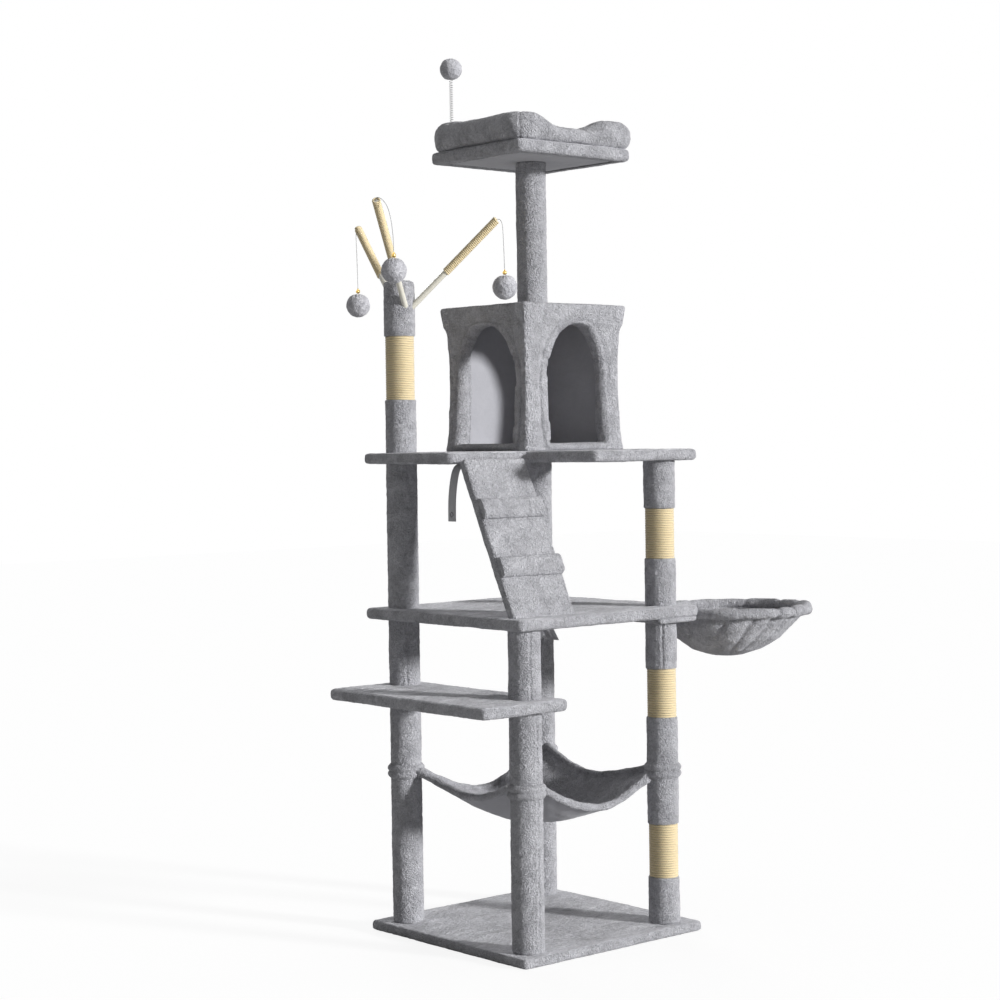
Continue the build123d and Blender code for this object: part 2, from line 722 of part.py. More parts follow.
for post in (front_post, left_post, right_post, back_post):
    sheet -= cylinder(*post, 0, sphere_z, post_radius + sleeve_bulge)
    ring = tube(*post, sleeve_low, sleeve_high, post_radius + sleeve_bulge, post_radius)
    sleeves.append(ring)
save("hammock_sheet", sheet)
save("hammock_sleeves", *sleeves)

# Basket ----------------------------------------------------------------------------------------

ring_z = middle_bottom + ring_rise
steel_low = bracket_bottom + (bracket_thickness - bracket_steel) / 2
steel_high = steel_low + bracket_steel
ring_left = ring_x - ring_radius
hoop = Pos(ring_x, ring_y, ring_z) * Torus(ring_radius, ring_wire)
plate = box((bracket_x[0] + bracket_inset, bracket_y[0] + bracket_inset, steel_low),
            (bracket_x[1] - bracket_inset, bracket_y[1] - bracket_inset, steel_high))
tab = box((bracket_x[1] - bracket_inset, ring_y - tab_width / 2, steel_low),
          (ring_left, ring_y + tab_width / 2, steel_high))
lug = box((ring_left - ring_wire, ring_y - tab_width / 2, steel_low),
          (ring_left + ring_wire, ring_y + tab_width / 2, ring_z))
frame = hoop + plate + tab + lug
frame -= cylinder(*right_post, 0, upper_bottom, stud_hole)
save("basket_frame", frame)

bracket_cover = box((bracket_x[0], bracket_y[0], bracket_bottom),
                    (bracket_x[1], bracket_y[1], middle_bottom))
bracket_cover = fillet(bracket_cover.edges().filter_by(Axis.Z), board_corner)
bracket_cover -= frame
bracket_cover -= cylinder(*right_post, 0, upper_bottom, stud_hole)
save("basket_bracket_cover", bracket_cover)

roll = Pos(ring_x, ring_y, ring_z) * Torus(ring_radius, roll_radius)
save("basket_rim", roll - frame)

lean = (cos(radians(bowl_lean_angle)), sin(radians(bowl_lean_angle)))


def bowl_form(thinner):
    """The basket's sagging form, lofted through level circles; thinner draws it in all over."""
    circles = []
    mouth_drop = sqrt(roll_radius**2 - (ring_radius - bowl_mouth)**2) + hem_gap
    for drop, radius, shift in ((mouth_drop, bowl_mouth, 0.0), *bowl_sections):
        last = drop == bowl_sections[-1][0]
        level = ring_z - drop + (thinner if last else thinner * drop / 2 / bowl_sections[-1][0])
        place = Pos(ring_x + lean[0] * shift, ring_y + lean[1] * shift, level)
        circles.append(place * Circle(radius - thinner))
    return loft(circles)


save("basket_bowl", bowl_form(0) - bowl_form(bowl_cloth))

# Straps ----------------------------------------------------------------------------------------


def strap(route, level, y, width, screw_x):
    """A flat strap under a board: its route as a ribbon, drilled for its screw."""
    points = [Vector(x, y - width / 2, level - strap_cloth / 2 - drop) for x, drop in route]
    path = route_wire(points)
    normal = Plane(origin=path @ 0, z_dir=path % 0, x_dir=(0, 1, 0))
    ribbon = sweep(normal * Pos(width / 2, 0) * Rectangle(width, strap_cloth), path)
    print("strap length", round(path.length, 1), "volume share",
          round(ribbon.volume / (path.length * width * strap_cloth), 4))
    return ribbon - cylinder(screw_x, y, level - strap_cloth - cut_past, level + cut_past,
                             screw_radius + thread_gap)


anti_tip = strap(anti_tip_route, upper_bottom, anti_tip_y, anti_tip_width, anti_tip_screw_x)
end_x, end_drop = anti_tip_route[-1]
eyelet_z = upper_bottom - strap_cloth / 2 - end_drop + eyelet_height
eyelet_plane = Plane(origin=(end_x, anti_tip_y, eyelet_z), x_dir=(0, 1, 0), z_dir=(1, 0, 0))
barrel = eyelet_plane * extrude(Circle(eyelet_outer), eyelet_length / 2, both=True)
waist = eyelet_plane * extrude(Circle(eyelet_outer) - Circle((eyelet_outer + eyelet_bore) / 2),
                               strap_cloth / 2, both=True)
save("anti_tip_strap",
     anti_tip - eyelet_plane * extrude(Circle((eyelet_outer + eyelet_bore) / 2), strap_cloth, both=True))
save("strap_eyelet",
     barrel - waist - eyelet_plane * extrude(Circle(eyelet_bore), eyelet_length, both=True))
save("strap_tail", strap(tail_route, middle_bottom, tail_y, tail_width, tail_screw_x))
print("eyelet", round(end_x, 2), round(anti_tip_y, 2), round(eyelet_z, 2))
print("levels", [round(v, 1) for v in (step_bottom, middle_bottom, upper_bottom, upper_top, condo_top,
                                       perch_top, bolster_top, pivot_z, ball_z)])
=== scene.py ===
# %% [markdown]
# # A plush and sisal cat tree
# The construction comes in as a fixed frame: boards, tubes, fasteners, hinges, the spring and
# the wands at their real places. This script dresses it. Each piece below takes its place from
# the box or the solids of the CAD node that it stands for. The strings and the straps repeat
# the points of their routes instead, and soft forms are set by a few named amounts. Lengths are
# metres unless a comment says otherwise.

# %% The frame
import json
from math import atan2, cos, exp, hypot, pi, radians, sin, sqrt

import bmesh
import bpy
import numpy as np
from mathutils import Matrix, Quaternion, Vector
from mathutils.kdtree import KDTree


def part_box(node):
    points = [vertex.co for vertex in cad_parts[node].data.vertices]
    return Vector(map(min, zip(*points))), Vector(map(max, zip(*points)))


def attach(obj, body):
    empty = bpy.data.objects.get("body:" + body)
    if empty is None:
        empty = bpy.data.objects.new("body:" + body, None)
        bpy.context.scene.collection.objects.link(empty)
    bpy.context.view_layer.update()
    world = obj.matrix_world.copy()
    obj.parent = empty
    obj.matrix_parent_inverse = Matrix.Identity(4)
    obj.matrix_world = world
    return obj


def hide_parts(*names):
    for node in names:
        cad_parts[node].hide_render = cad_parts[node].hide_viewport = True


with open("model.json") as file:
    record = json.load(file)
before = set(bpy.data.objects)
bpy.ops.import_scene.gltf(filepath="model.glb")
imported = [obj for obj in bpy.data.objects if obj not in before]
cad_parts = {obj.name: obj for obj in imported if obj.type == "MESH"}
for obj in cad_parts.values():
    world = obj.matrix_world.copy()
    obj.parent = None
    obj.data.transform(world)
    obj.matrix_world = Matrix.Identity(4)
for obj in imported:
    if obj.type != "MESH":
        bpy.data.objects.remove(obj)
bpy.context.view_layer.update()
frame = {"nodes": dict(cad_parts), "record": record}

scene = bpy.context.scene
nodes = frame["nodes"]
mm = 0.001

# %% [markdown]
# ## Camera, light and floor
# A long lens from about 4.5 m keeps the upright posts upright. A low soft key lamp stands before
# the front of the tree, a little to its right, so the front faces are bright and the left ones
# dark. A wide one hangs over it, and a weak one fills in from behind. The floor sends light back
# up to the undersides. The camera sees the room as plain white through Light Path.

# %% Camera
view_azimuth, view_elevation, view_roll = radians(-40.637), radians(1.61), -0.0147
eye = Vector((-3.0045, -3.4037, 1.0478))
focal_length, sensor_width = 76.93, 36  # millimetres
back = Vector((sin(view_azimuth) * cos(view_elevation), -cos(view_azimuth) * cos(view_elevation),
               sin(view_elevation)))
camera = bpy.data.objects.new("camera", bpy.data.cameras.new("camera"))
scene.collection.objects.link(camera)
scene.camera = camera
camera.location = eye
camera.rotation_mode = "QUATERNION"
camera.rotation_quaternion = (-back).to_track_quat("-Z", "Y") @ Quaternion((0, 0, 1), view_roll)
camera.data.lens = focal_length
camera.data.sensor_width = sensor_width
camera.data.clip_start, camera.data.clip_end = 0.1, 60
scene.view_settings.view_transform = "Standard"

# %% Lamps


def lamp(name, direction, level, spread):
    """A far soft lamp; level is the brightness of a white surface that faces it."""
    made = bpy.data.objects.new(name, bpy.data.lights.new(name, "SUN"))
    scene.collection.objects.link(made)
    made.rotation_euler = (-Vector(direction)).to_track_quat("-Z", "Y").to_euler()
    made.data.energy = level * pi
    made.data.angle = radians(spread)


lamp("key", (0.375, -0.90, 0.22), 1.19, 7)
lamp("top", (0.05, 0.05, 1.0), 0.19, 70)
lamp("back", (0.45, 0.85, 0.30), 0.34, 30)

# %% Shader helpers


def feed(tree, socket, value):
    """Links a socket to another, or sets its value."""
    if isinstance(value, bpy.types.NodeSocket):
        tree.links.new(value, socket)
    else:
        socket.default_value = value


def put(tree, kind, **values):
    """Adds a node. A name with a capital is an input, and any other is a setting of the node."""
    made = tree.nodes.new(kind)
    for name, value in values.items():
        if name[0].isupper():
            feed(tree, made.inputs[name.replace("_", " ")], value)
        else:
            setattr(made, name, value)
    return made


def calc(tree, operation, *values, clamp=False):
    """A Math node's result."""
    made = put(tree, "ShaderNodeMath", operation=operation, use_clamp=clamp)
    for socket, value in zip(made.inputs, values):
        feed(tree, socket, value)
    return made.outputs[0]


def ramp(tree, factor, *stops):
    """A Color Ramp's colour; each stop is (position, colour)."""
    made = put(tree, "ShaderNodeValToRGB", Fac=factor)
    elements = made.color_ramp.elements
    while len(elements) < len(stops):
        elements.new(1.0)
    for element, (position, colour) in zip(elements, stops):
        element.position = position
        element.color = (*colour, 1)
    return made.outputs["Color"]


def noise(tree, where, scale, detail=2.0, roughness=0.5, distortion=0.0):
    """A Noise Texture's value, from 0 to 1."""
    return put(tree, "ShaderNodeTexNoise", Vector=where, Scale=scale, Detail=detail, Roughness=roughness,
               Distortion=distortion).outputs[0]


def stretched(tree, where, scale):
    """Coordinates scaled unevenly, to draw a pattern out along one way."""
    return put(tree, "ShaderNodeMapping", Vector=where, Scale=scale).outputs[0]


def node_tree(name, kind, inputs, outputs):
    """A node group; an input is (name, kind, default), and an output is (name, kind).

    It comes with the identifiers of its inputs and with the sockets that they are read from.
    """
    tree = bpy.data.node_groups.new(name, kind)
    identifiers = {}
    for label, socket_kind, default in inputs:
        socket = tree.interface.new_socket(label, in_out="INPUT", socket_type="NodeSocket" + socket_kind)
        if default is not None:
            socket.default_value = default
        identifiers[label] = socket.identifier
    for label, socket_kind in outputs:
        tree.interface.new_socket(label, in_out="OUTPUT", socket_type="NodeSocket" + socket_kind)
    return tree, identifiers, put(tree, "NodeGroupInput").outputs


def end_tree(tree, geometry, material):
    """Ends a Geometry Nodes tree with real geometry in one material."""
    real = put(tree, "GeometryNodeRealizeInstances", Geometry=geometry)
    dressed = put(tree, "GeometryNodeSetMaterial", Geometry=real.outputs[0], Material=material)
    tree.links.new(dressed.outputs[0], put(tree, "NodeGroupOutput").inputs[0])


# %% White room and floor
world = bpy.data.worlds.new("room")
scene.world = world
world.use_nodes = True
room = world.node_tree
room.nodes.clear()


def seen_directly(tree):
    """1 for what the camera, a mirror or glass shows, and 0 for the light a surface gathers."""
    path = put(tree, "ShaderNodeLightPath").outputs
    return calc(tree, "MAXIMUM", path["Is Camera Ray"],
                calc(tree, "MAXIMUM", path["Is Glossy Ray"], path["Is Transmission Ray"]))


room_light = 0.16
strength = calc(room, "ADD", room_light, calc(room, "MULTIPLY", seen_directly(room), 1 - room_light))
sky = put(room, "ShaderNodeBackground", Color=(1, 1, 1, 1), Strength=strength)
room.links.new(sky.outputs[0], put(room, "ShaderNodeOutputWorld").inputs["Surface"])

floor_paint = bpy.data.materials.new("floor_paint")
floor_paint.use_nodes = True
paint = floor_paint.node_tree
paint.nodes.clear()
floor_grey, floor_level, white_share = 0.55, 0.78, 0.72
matte = put(paint, "ShaderNodeBsdfDiffuse", Color=(floor_grey, floor_grey, floor_grey, 1))
whitener = (1 - (1 - white_share) * floor_grey * floor_level) / white_share
glow = put(paint, "ShaderNodeEmission", Color=(1, 1, 1, 1), Strength=whitener)
share = calc(paint, "MULTIPLY", seen_directly(paint), white_share)
mixed = put(paint, "ShaderNodeMixShader", Fac=share)
paint.links.new(matte.outputs[0], mixed.inputs[1])
paint.links.new(glow.outputs[0], mixed.inputs[2])
paint.links.new(mixed.outputs[0], put(paint, "ShaderNodeOutputMaterial").inputs["Surface"])

floor_reach = 14.0
floor_mesh = bpy.data.meshes.new("floor")
floor_mesh.from_pydata([(-floor_reach, -floor_reach, 0), (floor_reach, -floor_reach, 0),
                        (floor_reach, floor_reach, 0), (-floor_reach, floor_reach, 0)], [], [(0, 1, 2, 3)])
floor_mesh.materials.append(floor_paint)
floor = bpy.data.objects.new("floor", floor_mesh)
scene.collection.objects.link(floor)
print("room, floor and three lamps made")

# %% [markdown]
# ## Finishes
# Short plush is thousands of soft fibres that lean this way and that. From a step away they show
# as three things: broad patches where the nap was brushed over, tufts of a few millimetres, and
# a fine grain. One group makes all three from noise, and each cloth takes its own sizes. The
# fibres' tufts also go into a Bump node, so that they catch light where it grazes the cloth. The
# same tufts make the colour paler where they rise and darker between them. This is painted
# highlight and painted shade, laid over the nap's own uneven tone.

# %% The pile group
pile_group, _, taken = node_tree("pile", "ShaderNodeTree",
                                 (("Where", "Vector", None), ("Patch", "Float", 0.03),
                                  ("Tuft", "Float", 0.006), ("Grain", "Float", 0.0016)),
                                 (("Tone", "Float"), ("Height", "Float")))
given = put(pile_group, "NodeGroupOutput").inputs


def speckles(size, *character):
    """Noise whose spots are as large as the named input of the group."""
    return noise(pile_group, taken["Where"], calc(pile_group, "DIVIDE", 1.0, taken[size]), *character)


patches = speckles("Patch", 3, 0.55, 0.8)
tufts = speckles("Tuft", 2, 0.55, 1.2)
grain = speckles("Grain", 1)
fibres = calc(pile_group, "MULTIPLY_ADD", grain, 0.3, calc(pile_group, "MULTIPLY", tufts, 0.7))
# The tufts and grain that make the bump also pale the colour: painted highlight where they rise and painted
# shade between them.
tone = calc(pile_group, "MULTIPLY_ADD", patches, 0.42, calc(pile_group, "MULTIPLY", fibres, 0.58))
pile_group.links.new(tone, given["Tone"])
pile_group.links.new(fibres, given["Height"])

# %% Materials


def finish(name, colour_at, height_at=None, depth=0.001, strength=0.6, **constants):
    """A Principled material. colour_at and height_at take the tree and Object coordinates."""
    made = bpy.data.materials.new(name)
    made.use_nodes = True
    tree = made.node_tree
    shader = tree.nodes["Principled BSDF"]
    for label, value in constants.items():
        shader.inputs[label.replace("_", " ")].default_value = value
    where = put(tree, "ShaderNodeTexCoord").outputs["Object"]
    tree.links.new(colour_at(tree, where), shader.inputs["Base Color"])
    if height_at:
        bump = put(tree, "ShaderNodeBump", Height=height_at(tree, where), Distance=depth, Strength=strength)
        tree.links.new(bump.outputs[0], shader.inputs["Normal"])
    return made


def pile(tree, where, patch, tuft, grain_size):
    """The pile group in a material, with this cloth's own sizes."""
    group = put(tree, "ShaderNodeGroup", node_tree=pile_group)
    for label, value in (("Where", where), ("Patch", patch), ("Tuft", tuft), ("Grain", grain_size)):
        feed(tree, group.inputs[label], value)
    return group.outputs


def cloth_finish(name, sizes, tones, depth, strength, brushed=(1, 1, 1)):
    """A plush: sizes are its patches, tufts and grain, and brushed draws them out along the nap."""
    def colour(tree, where):
        return ramp(tree, pile(tree, stretched(tree, where, brushed), *sizes)["Tone"], *tones)

    def height(tree, where):
        return pile(tree, stretched(tree, where, brushed), *sizes)["Height"]

    return finish(name, colour, height, depth=depth, strength=strength, Roughness=0.95, Sheen_Weight=0.25,
                  Sheen_Roughness=0.55, Specular_IOR_Level=0.12)


def speckled(dark, light, scale, detail=3.0, low=0.3, high=0.7):
    """A colour maker: noise between two colours."""
    return lambda tree, where: ramp(tree, noise(tree, where, scale, detail), (low, dark), (high, light))


def grained(scale, *character):
    """A height maker: plain noise."""
    return lambda tree, where: noise(tree, where, scale, *character)


plush_tones = ((0.37, (0.365, 0.365, 0.395)), (0.5, (0.53, 0.53, 0.565)), (0.63, (0.71, 0.71, 0.75)))
smooth_tones = ((0.3, (0.395, 0.395, 0.425)), (0.7, (0.46, 0.46, 0.49)))
plush = cloth_finish("plush", (0.032, 0.0050, 0.0020), plush_tones, 0.0120, 1.0)
brushed_plush = cloth_finish("brushed_plush", (0.036, 0.0060, 0.0020), plush_tones, 0.0048, 0.9,
                             brushed=(0.35, 1, 1))
coarse_plush = cloth_finish("coarse_plush", (0.03, 0.0080, 0.0024), plush_tones, 0.0160, 1.0)
short_plush = cloth_finish("short_plush", (0.02, 0.0060, 0.0020), plush_tones, 0.0050, 0.9)
# Near-black cloth laid along the groove under each board as painted shade.
groove_shade_tones = ((0.3, (0.06, 0.06, 0.065)), (0.7, (0.12, 0.12, 0.125)))
painted_groove_shade = cloth_finish("painted_groove_shade", (0.03, 0.004, 0.0015), groove_shade_tones, 0.001, 0.5)
lining = cloth_finish("smooth_plush", (0.05, 0.004, 0.0015), smooth_tones, 0.001, 0.5)


def sisal_colour(tree, where):
    """Straw colours drawn out along the rope, with paler and browner fibres."""
    along = stretched(tree, where, (1.0, 1.0, 3.5))
    return ramp(tree, noise(tree, along, 420, 4, 0.65), (0.25, (0.72, 0.54, 0.27)),
                (0.42, (0.85, 0.70, 0.42)), (0.6, (0.90, 0.77, 0.50)), (0.8, (0.94, 0.84, 0.62)))


sisal = finish("sisal_rope", sisal_colour, grained(1500, 3, 0.7), depth=0.0006, strength=0.7,
               Roughness=0.85, Specular_IOR_Level=0.2, Sheen_Weight=0.6, Sheen_Roughness=0.5)
wand_plastic = finish("wand_plastic", speckled((0.74, 0.71, 0.60), (0.82, 0.80, 0.72), 35), grained(260),
                      depth=0.0002, strength=0.3, Roughness=0.28)
brass = finish("bell_brass", speckled((0.62, 0.38, 0.09), (0.90, 0.66, 0.24), 240), grained(900),
               depth=0.0001, strength=0.3, Metallic=1.0, Roughness=0.24)
steel = finish("bright_steel", speckled((0.05, 0.05, 0.055), (0.17, 0.17, 0.18), 300), grained(1600),
               depth=0.0001, strength=0.3, Metallic=1.0, Roughness=0.34)
string_yarn = finish("toy_string", speckled((0.42, 0.42, 0.43), (0.66, 0.66, 0.67), 900), grained(2200),
                     depth=0.0003, Roughness=0.9)
cardboard = finish("cardboard", speckled((0.30, 0.20, 0.12), (0.42, 0.30, 0.19), 160), grained(500),
                   depth=0.0004, Roughness=0.9)
chipboard = finish("chipboard", speckled((0.30, 0.20, 0.11), (0.60, 0.46, 0.29), 220, 2, 0.4, 0.6),
                   grained(260), depth=0.0006, Roughness=0.85)
black_plastic = finish("black_plastic", speckled((0.012, 0.012, 0.012), (0.03, 0.03, 0.03), 120),
                       grained(900), depth=0.0002, strength=0.4, Roughness=0.45)


def weave_height(tree, where):
    """A plain weave of 1.6 mm yarns, from the strap's own length and width in its UV map."""
    flat = put(tree, "ShaderNodeUVMap", uv_map="cloth").outputs[0]
    warp = put(tree, "ShaderNodeTexWave", Vector=flat, Scale=200.0, bands_direction="X").outputs[1]
    weft = put(tree, "ShaderNodeTexWave", Vector=flat, Scale=200.0, bands_direction="Y").outputs[1]
    return calc(tree, "MULTIPLY", warp, weft)


def weave_colour(tree, where):
    """Grey yarns, paler where they rise and darker between them: painted highlight and painted shade."""
    return ramp(tree, weave_height(tree, where), (0.1, (0.46, 0.46, 0.48)), (0.8, (0.62, 0.62, 0.64)))


webbing = finish("webbing", weave_colour, weave_height, depth=0.0006, strength=0.8, Roughness=0.85,
                 Sheen_Weight=0.15)

finish_of_slot = {"plush": plush, "sisal": sisal, "board": chipboard, "cardboard": cardboard,
                  "plug_plastic": black_plastic, "steel": steel, "rod_plastic": wand_plastic,
                  "bell_brass": brass, "string": string_yarn, "webbing": webbing}
for part in frame["record"]["subparts"]:
    carried = nodes[part["node"]]
    carried.data.materials.clear()
    carried.data.materials.append(finish_of_slot[part["material_slot"]])
print("finishes:", ", ".join(sorted(m.name for m in finish_of_slot.values())))

# %% [markdown]
# ## Making cloth from meshes
# Most pieces start as rings of points joined into a closed skin, because cloth is a surface with
# a direction: round a post, along a hem, down a bowl. A few start as a copy of a CAD solid.
# Geometry Nodes then ruffle each surface along its normals, and the result is kept as a plain mesh.

# %% Mesh helpers


def keep_piece(mesh, name, material, body, slot, *replaced):
    """Wraps a mesh as a piece of the tree: smooth, closed, facing out, and riding on a body."""
    made = bpy.data.objects.new(name, mesh)
    scene.collection.objects.link(made)
    if not mesh.materials:
        mesh.materials.append(material)
    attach(made, body)
    if replaced:
        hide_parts(*replaced)
    mesh.calc_loop_triangles()
    print(f"{name}: {len(mesh.loop_triangles)} triangles on {body}")
    return made


def skin(rings, loop=False):
    """A mesh through rings of equal count: closed end to end, or capped at both ends."""
    count = len(rings[0])
    points = [p for ring in rings for p in ring]
    faces = []
    spans = len(rings) if loop else len(rings) - 1
    for i in range(spans):
        a, b = i * count, (i + 1) % len(rings) * count
        faces += [(a + j, a + (j + 1) % count, b + (j + 1) % count, b + j) for j in range(count)]
    if not loop:
        faces += [tuple(reversed(range(count))), tuple(range(spans * count, (spans + 1) * count))]
    mesh = bpy.data.meshes.new("skin")
    mesh.from_pydata(points, [], faces)
    return facing_out(mesh)


def facing_out(mesh):
    """Turns a closed mesh's faces outwards and shades it smooth."""
    shape = bmesh.new()
    shape.from_mesh(mesh)
    bmesh.ops.recalc_face_normals(shape, faces=shape.faces)
    shape.to_mesh(mesh)
    shape.free()
    mesh.shade_smooth()
    return mesh


def joined(meshes):
    """Several meshes as one."""
    shape = bmesh.new()
    for mesh in meshes:
        shape.from_mesh(mesh)
    made = bpy.data.meshes.new("joined")
    shape.to_mesh(made)
    shape.free()
    made.shade_smooth()
    return made


def solids(node):
    """Copies of the separate solids of a CAD node, merged, lowest first."""
    shape = bmesh.new()
    shape.from_mesh(nodes[node].data)
    bmesh.ops.remove_doubles(shape, verts=shape.verts, dist=0.02 * mm)
    found = []
    left = set(shape.verts)
    while left:
        island, edge_of_island = set(), [left.pop()]
        while edge_of_island:
            vertex = edge_of_island.pop()
            island.add(vertex)
            near = {e.other_vert(vertex) for e in vertex.link_edges} & left
            left -= near
            edge_of_island += near
        found.append(island)
    meshes = []
    for island in found:
        order = {vertex: i for i, vertex in enumerate(sorted(island, key=lambda v: v.index))}
        faces = [[order[v] for v in face.verts] for face in shape.faces if face.verts[0] in island]
        mesh = bpy.data.meshes.new(node + "_solid")
        mesh.from_pydata([v.co[:] for v in order], [], faces)
        meshes.append(mesh)
    shape.free()
    return sorted(meshes, key=lambda m: extent(m)[0][2])


def coordinates(mesh):
    """A mesh's points as an array."""
    flat = np.empty(len(mesh.vertices) * 3)
    mesh.vertices.foreach_get("co", flat)
    return flat.reshape(-1, 3)


def directions(mesh):
    """A mesh's vertex normals as an array."""
    flat = np.empty(len(mesh.vertices) * 3)
    mesh.vertex_normals.foreach_get("vector", flat)
    return flat.reshape(-1, 3)


def put_back(mesh, points):
    """Writes an array of points into a mesh."""
    mesh.vertices.foreach_set("co", np.ascontiguousarray(points).ravel())
    mesh.update()
    return mesh


def extent(mesh):
    """The lowest and highest corner of a mesh."""
    points = coordinates(mesh)
    return points.min(axis=0), points.max(axis=0)


def evaluated(mesh, *steps):
    """A mesh after modifiers; each step is (kind, settings)."""
    worker = bpy.data.objects.new("worker", mesh)
    scene.collection.objects.link(worker)
    for kind, settings in steps:
        modifier = worker.modifiers.new(kind.lower(), kind)
        for name, value in settings.items():
            if kind == "NODES" and name != "node_group":
                modifier[name] = value
            else:
                setattr(modifier, name, value)
    graph = bpy.context.evaluated_depsgraph_get()
    made = bpy.data.meshes.new_from_object(worker.evaluated_get(graph), depsgraph=graph)
    bpy.data.objects.remove(worker)
    made.shade_smooth()
    return made


def softened(mesh, voxel, rounds):
    """The mesh as an even skin of small quads, with its corners eased."""
    return evaluated(mesh, ("REMESH", {"mode": "VOXEL", "voxel_size": voxel}),
                     ("SMOOTH", {"factor": 0.5, "iterations": rounds}))


def grown(mesh, depth):
    """A skin pushed out along its normals."""
    return put_back(mesh, coordinates(mesh) + directions(mesh) * depth)


# %% The ruffle tree
ruffle, ruffle_inputs, taken = node_tree("ruffled cloth", "GeometryNodeTree",
                                         (("Cloth", "Geometry", None),
                                          ("Swell size", "Float", 0.07), ("Swell height", "Float", 0.0014),
                                          ("Lump size", "Float", 0.013), ("Lump height", "Float", 0.0008),
                                          ("Tuft size", "Float", 0.006), ("Tuft height", "Float", 0.0008),
                                          ("Finish", "Material", None)),
                                         [("Cloth", "Geometry")])
place = put(ruffle, "GeometryNodeInputPosition").outputs[0]


def heave(form, detail):
    """Noise of one form's size, centred on zero, times its height."""
    value = noise(ruffle, place, calc(ruffle, "DIVIDE", 1.0, taken[f"{form} size"]), detail)
    doubled = calc(ruffle, "MULTIPLY", taken[f"{form} height"], 2.0)
    return calc(ruffle, "MULTIPLY", calc(ruffle, "SUBTRACT", value, 0.5), doubled)


lift = calc(ruffle, "ADD", heave("Swell", 1.0), heave("Lump", 2.0))
lift = calc(ruffle, "ADD", lift, heave("Tuft", 1.0))
outwards = put(ruffle, "ShaderNodeVectorMath", operation="SCALE", Scale=lift)
ruffle.links.new(put(ruffle, "GeometryNodeInputNormal").outputs[0], outwards.inputs[0])
moved = put(ruffle, "GeometryNodeSetPosition", Geometry=taken["Cloth"], Offset=outwards.outputs[0])
end_tree(ruffle, moved.outputs[0], taken["Finish"])


def ruffled(mesh, material=None, **sizes):
    """A mesh ruffled by the tree above; sizes are its named inputs."""
    settings = {"node_group": ruffle, ruffle_inputs["Finish"]: material or plush}
    for name, value in sizes.items():
        settings[ruffle_inputs[name.replace("_", " ")]] = value
    return evaluated(mesh, ("NODES", settings))


# %% [markdown]
# ## Covered boards
# Each level is a chipboard panel inside a plush cover that is pulled round its edges and stapled
# under it. The cover is an outline drawn in and out over a round edge, remeshed to an even skin
# and eased. Underneath, a groove runs round as a frame where the cover's cut edge lies, with a thin
# lining inside it. A near-black band along that groove is painted shade.

# %% Board covers
board_corner, board_round = 9 * mm, 7 * mm
pile_depth = 1.5 * mm
# shade_band_width is the half width of the band of painted shade along the groove.
frame_inset, shade_band_width = 24 * mm, 4.5 * mm
groove_width, groove_depth, recess_depth = 4.5 * mm, 4.5 * mm, 1.2 * mm
brushed_slot, lining_slot, painted_groove_shade_slot = 1, 2, 3


def rounded_outline(corners, radius, steps=6):
    """A polygon's outline with every corner as an arc, inner corners too."""
    outline = []
    for before, here, after in zip(corners[-1:] + corners[:-1], corners, corners[1:] + corners[:1]):
        here = Vector(here)
        to_before, to_after = (Vector(before) - here).normalized(), (Vector(after) - here).normalized()
        centre = here + (to_before + to_after) * radius
        start, end = here + to_before * radius, here + to_after * radius
        for i in range(steps + 1):
            spoke = (start - centre).lerp(end - centre, i / steps).normalized() * radius
            outline.append(centre + spoke)
    return outline


def drawn_in(corners, inset):
    """A square-cornered outline moved inwards; it runs counterclockwise."""
    moved_corners = []
    for before, here, after in zip(corners[-1:] + corners[:-1], corners, corners[1:] + corners[:1]):
        shift = Vector((0, 0))
        for start, end in ((before, here), (here, after)):
            run = (Vector(end) - Vector(start)).normalized()
            shift += Vector((-run.y, run.x)) * inset
        moved_corners.append(tuple(Vector(here) + shift))
    return moved_corners


def from_outline(points, corners):
    """Each point's distance, in plan, from the edges of a polygon."""
    nearest = np.full(len(points), 1e9)
    for start, end in zip(corners, corners[1:] + corners[:1]):
        start, end = np.array(start), np.array(end)
        span = np.linalg.norm(end - start)
        run = (end - start) / span
        reach = np.clip((points[:, :2] - start) @ run, 0, span)
        away = points[:, :2] - start - reach[:, None] * run
        nearest = np.minimum(nearest, np.linalg.norm(away, axis=1))
    return nearest


def folds(points, edge, phase):
    """Shallow folds across a cover, from 0 to 1, in patches and dying out towards its edge."""
    x, y = points[:, 0], points[:, 1]
    drift = 1.6 * np.sin(x / (70 * mm) + 9 * phase) + 1.2 * np.sin(y / (31 * mm))
    patch = np.sin(x / (95 * mm) + y / (60 * mm) + 5 * phase) ** 2
    return np.sin(y * 2 * pi / (74 * mm) + drift) ** 2 * (patch * np.clip(edge / (40 * mm), 0, 1))


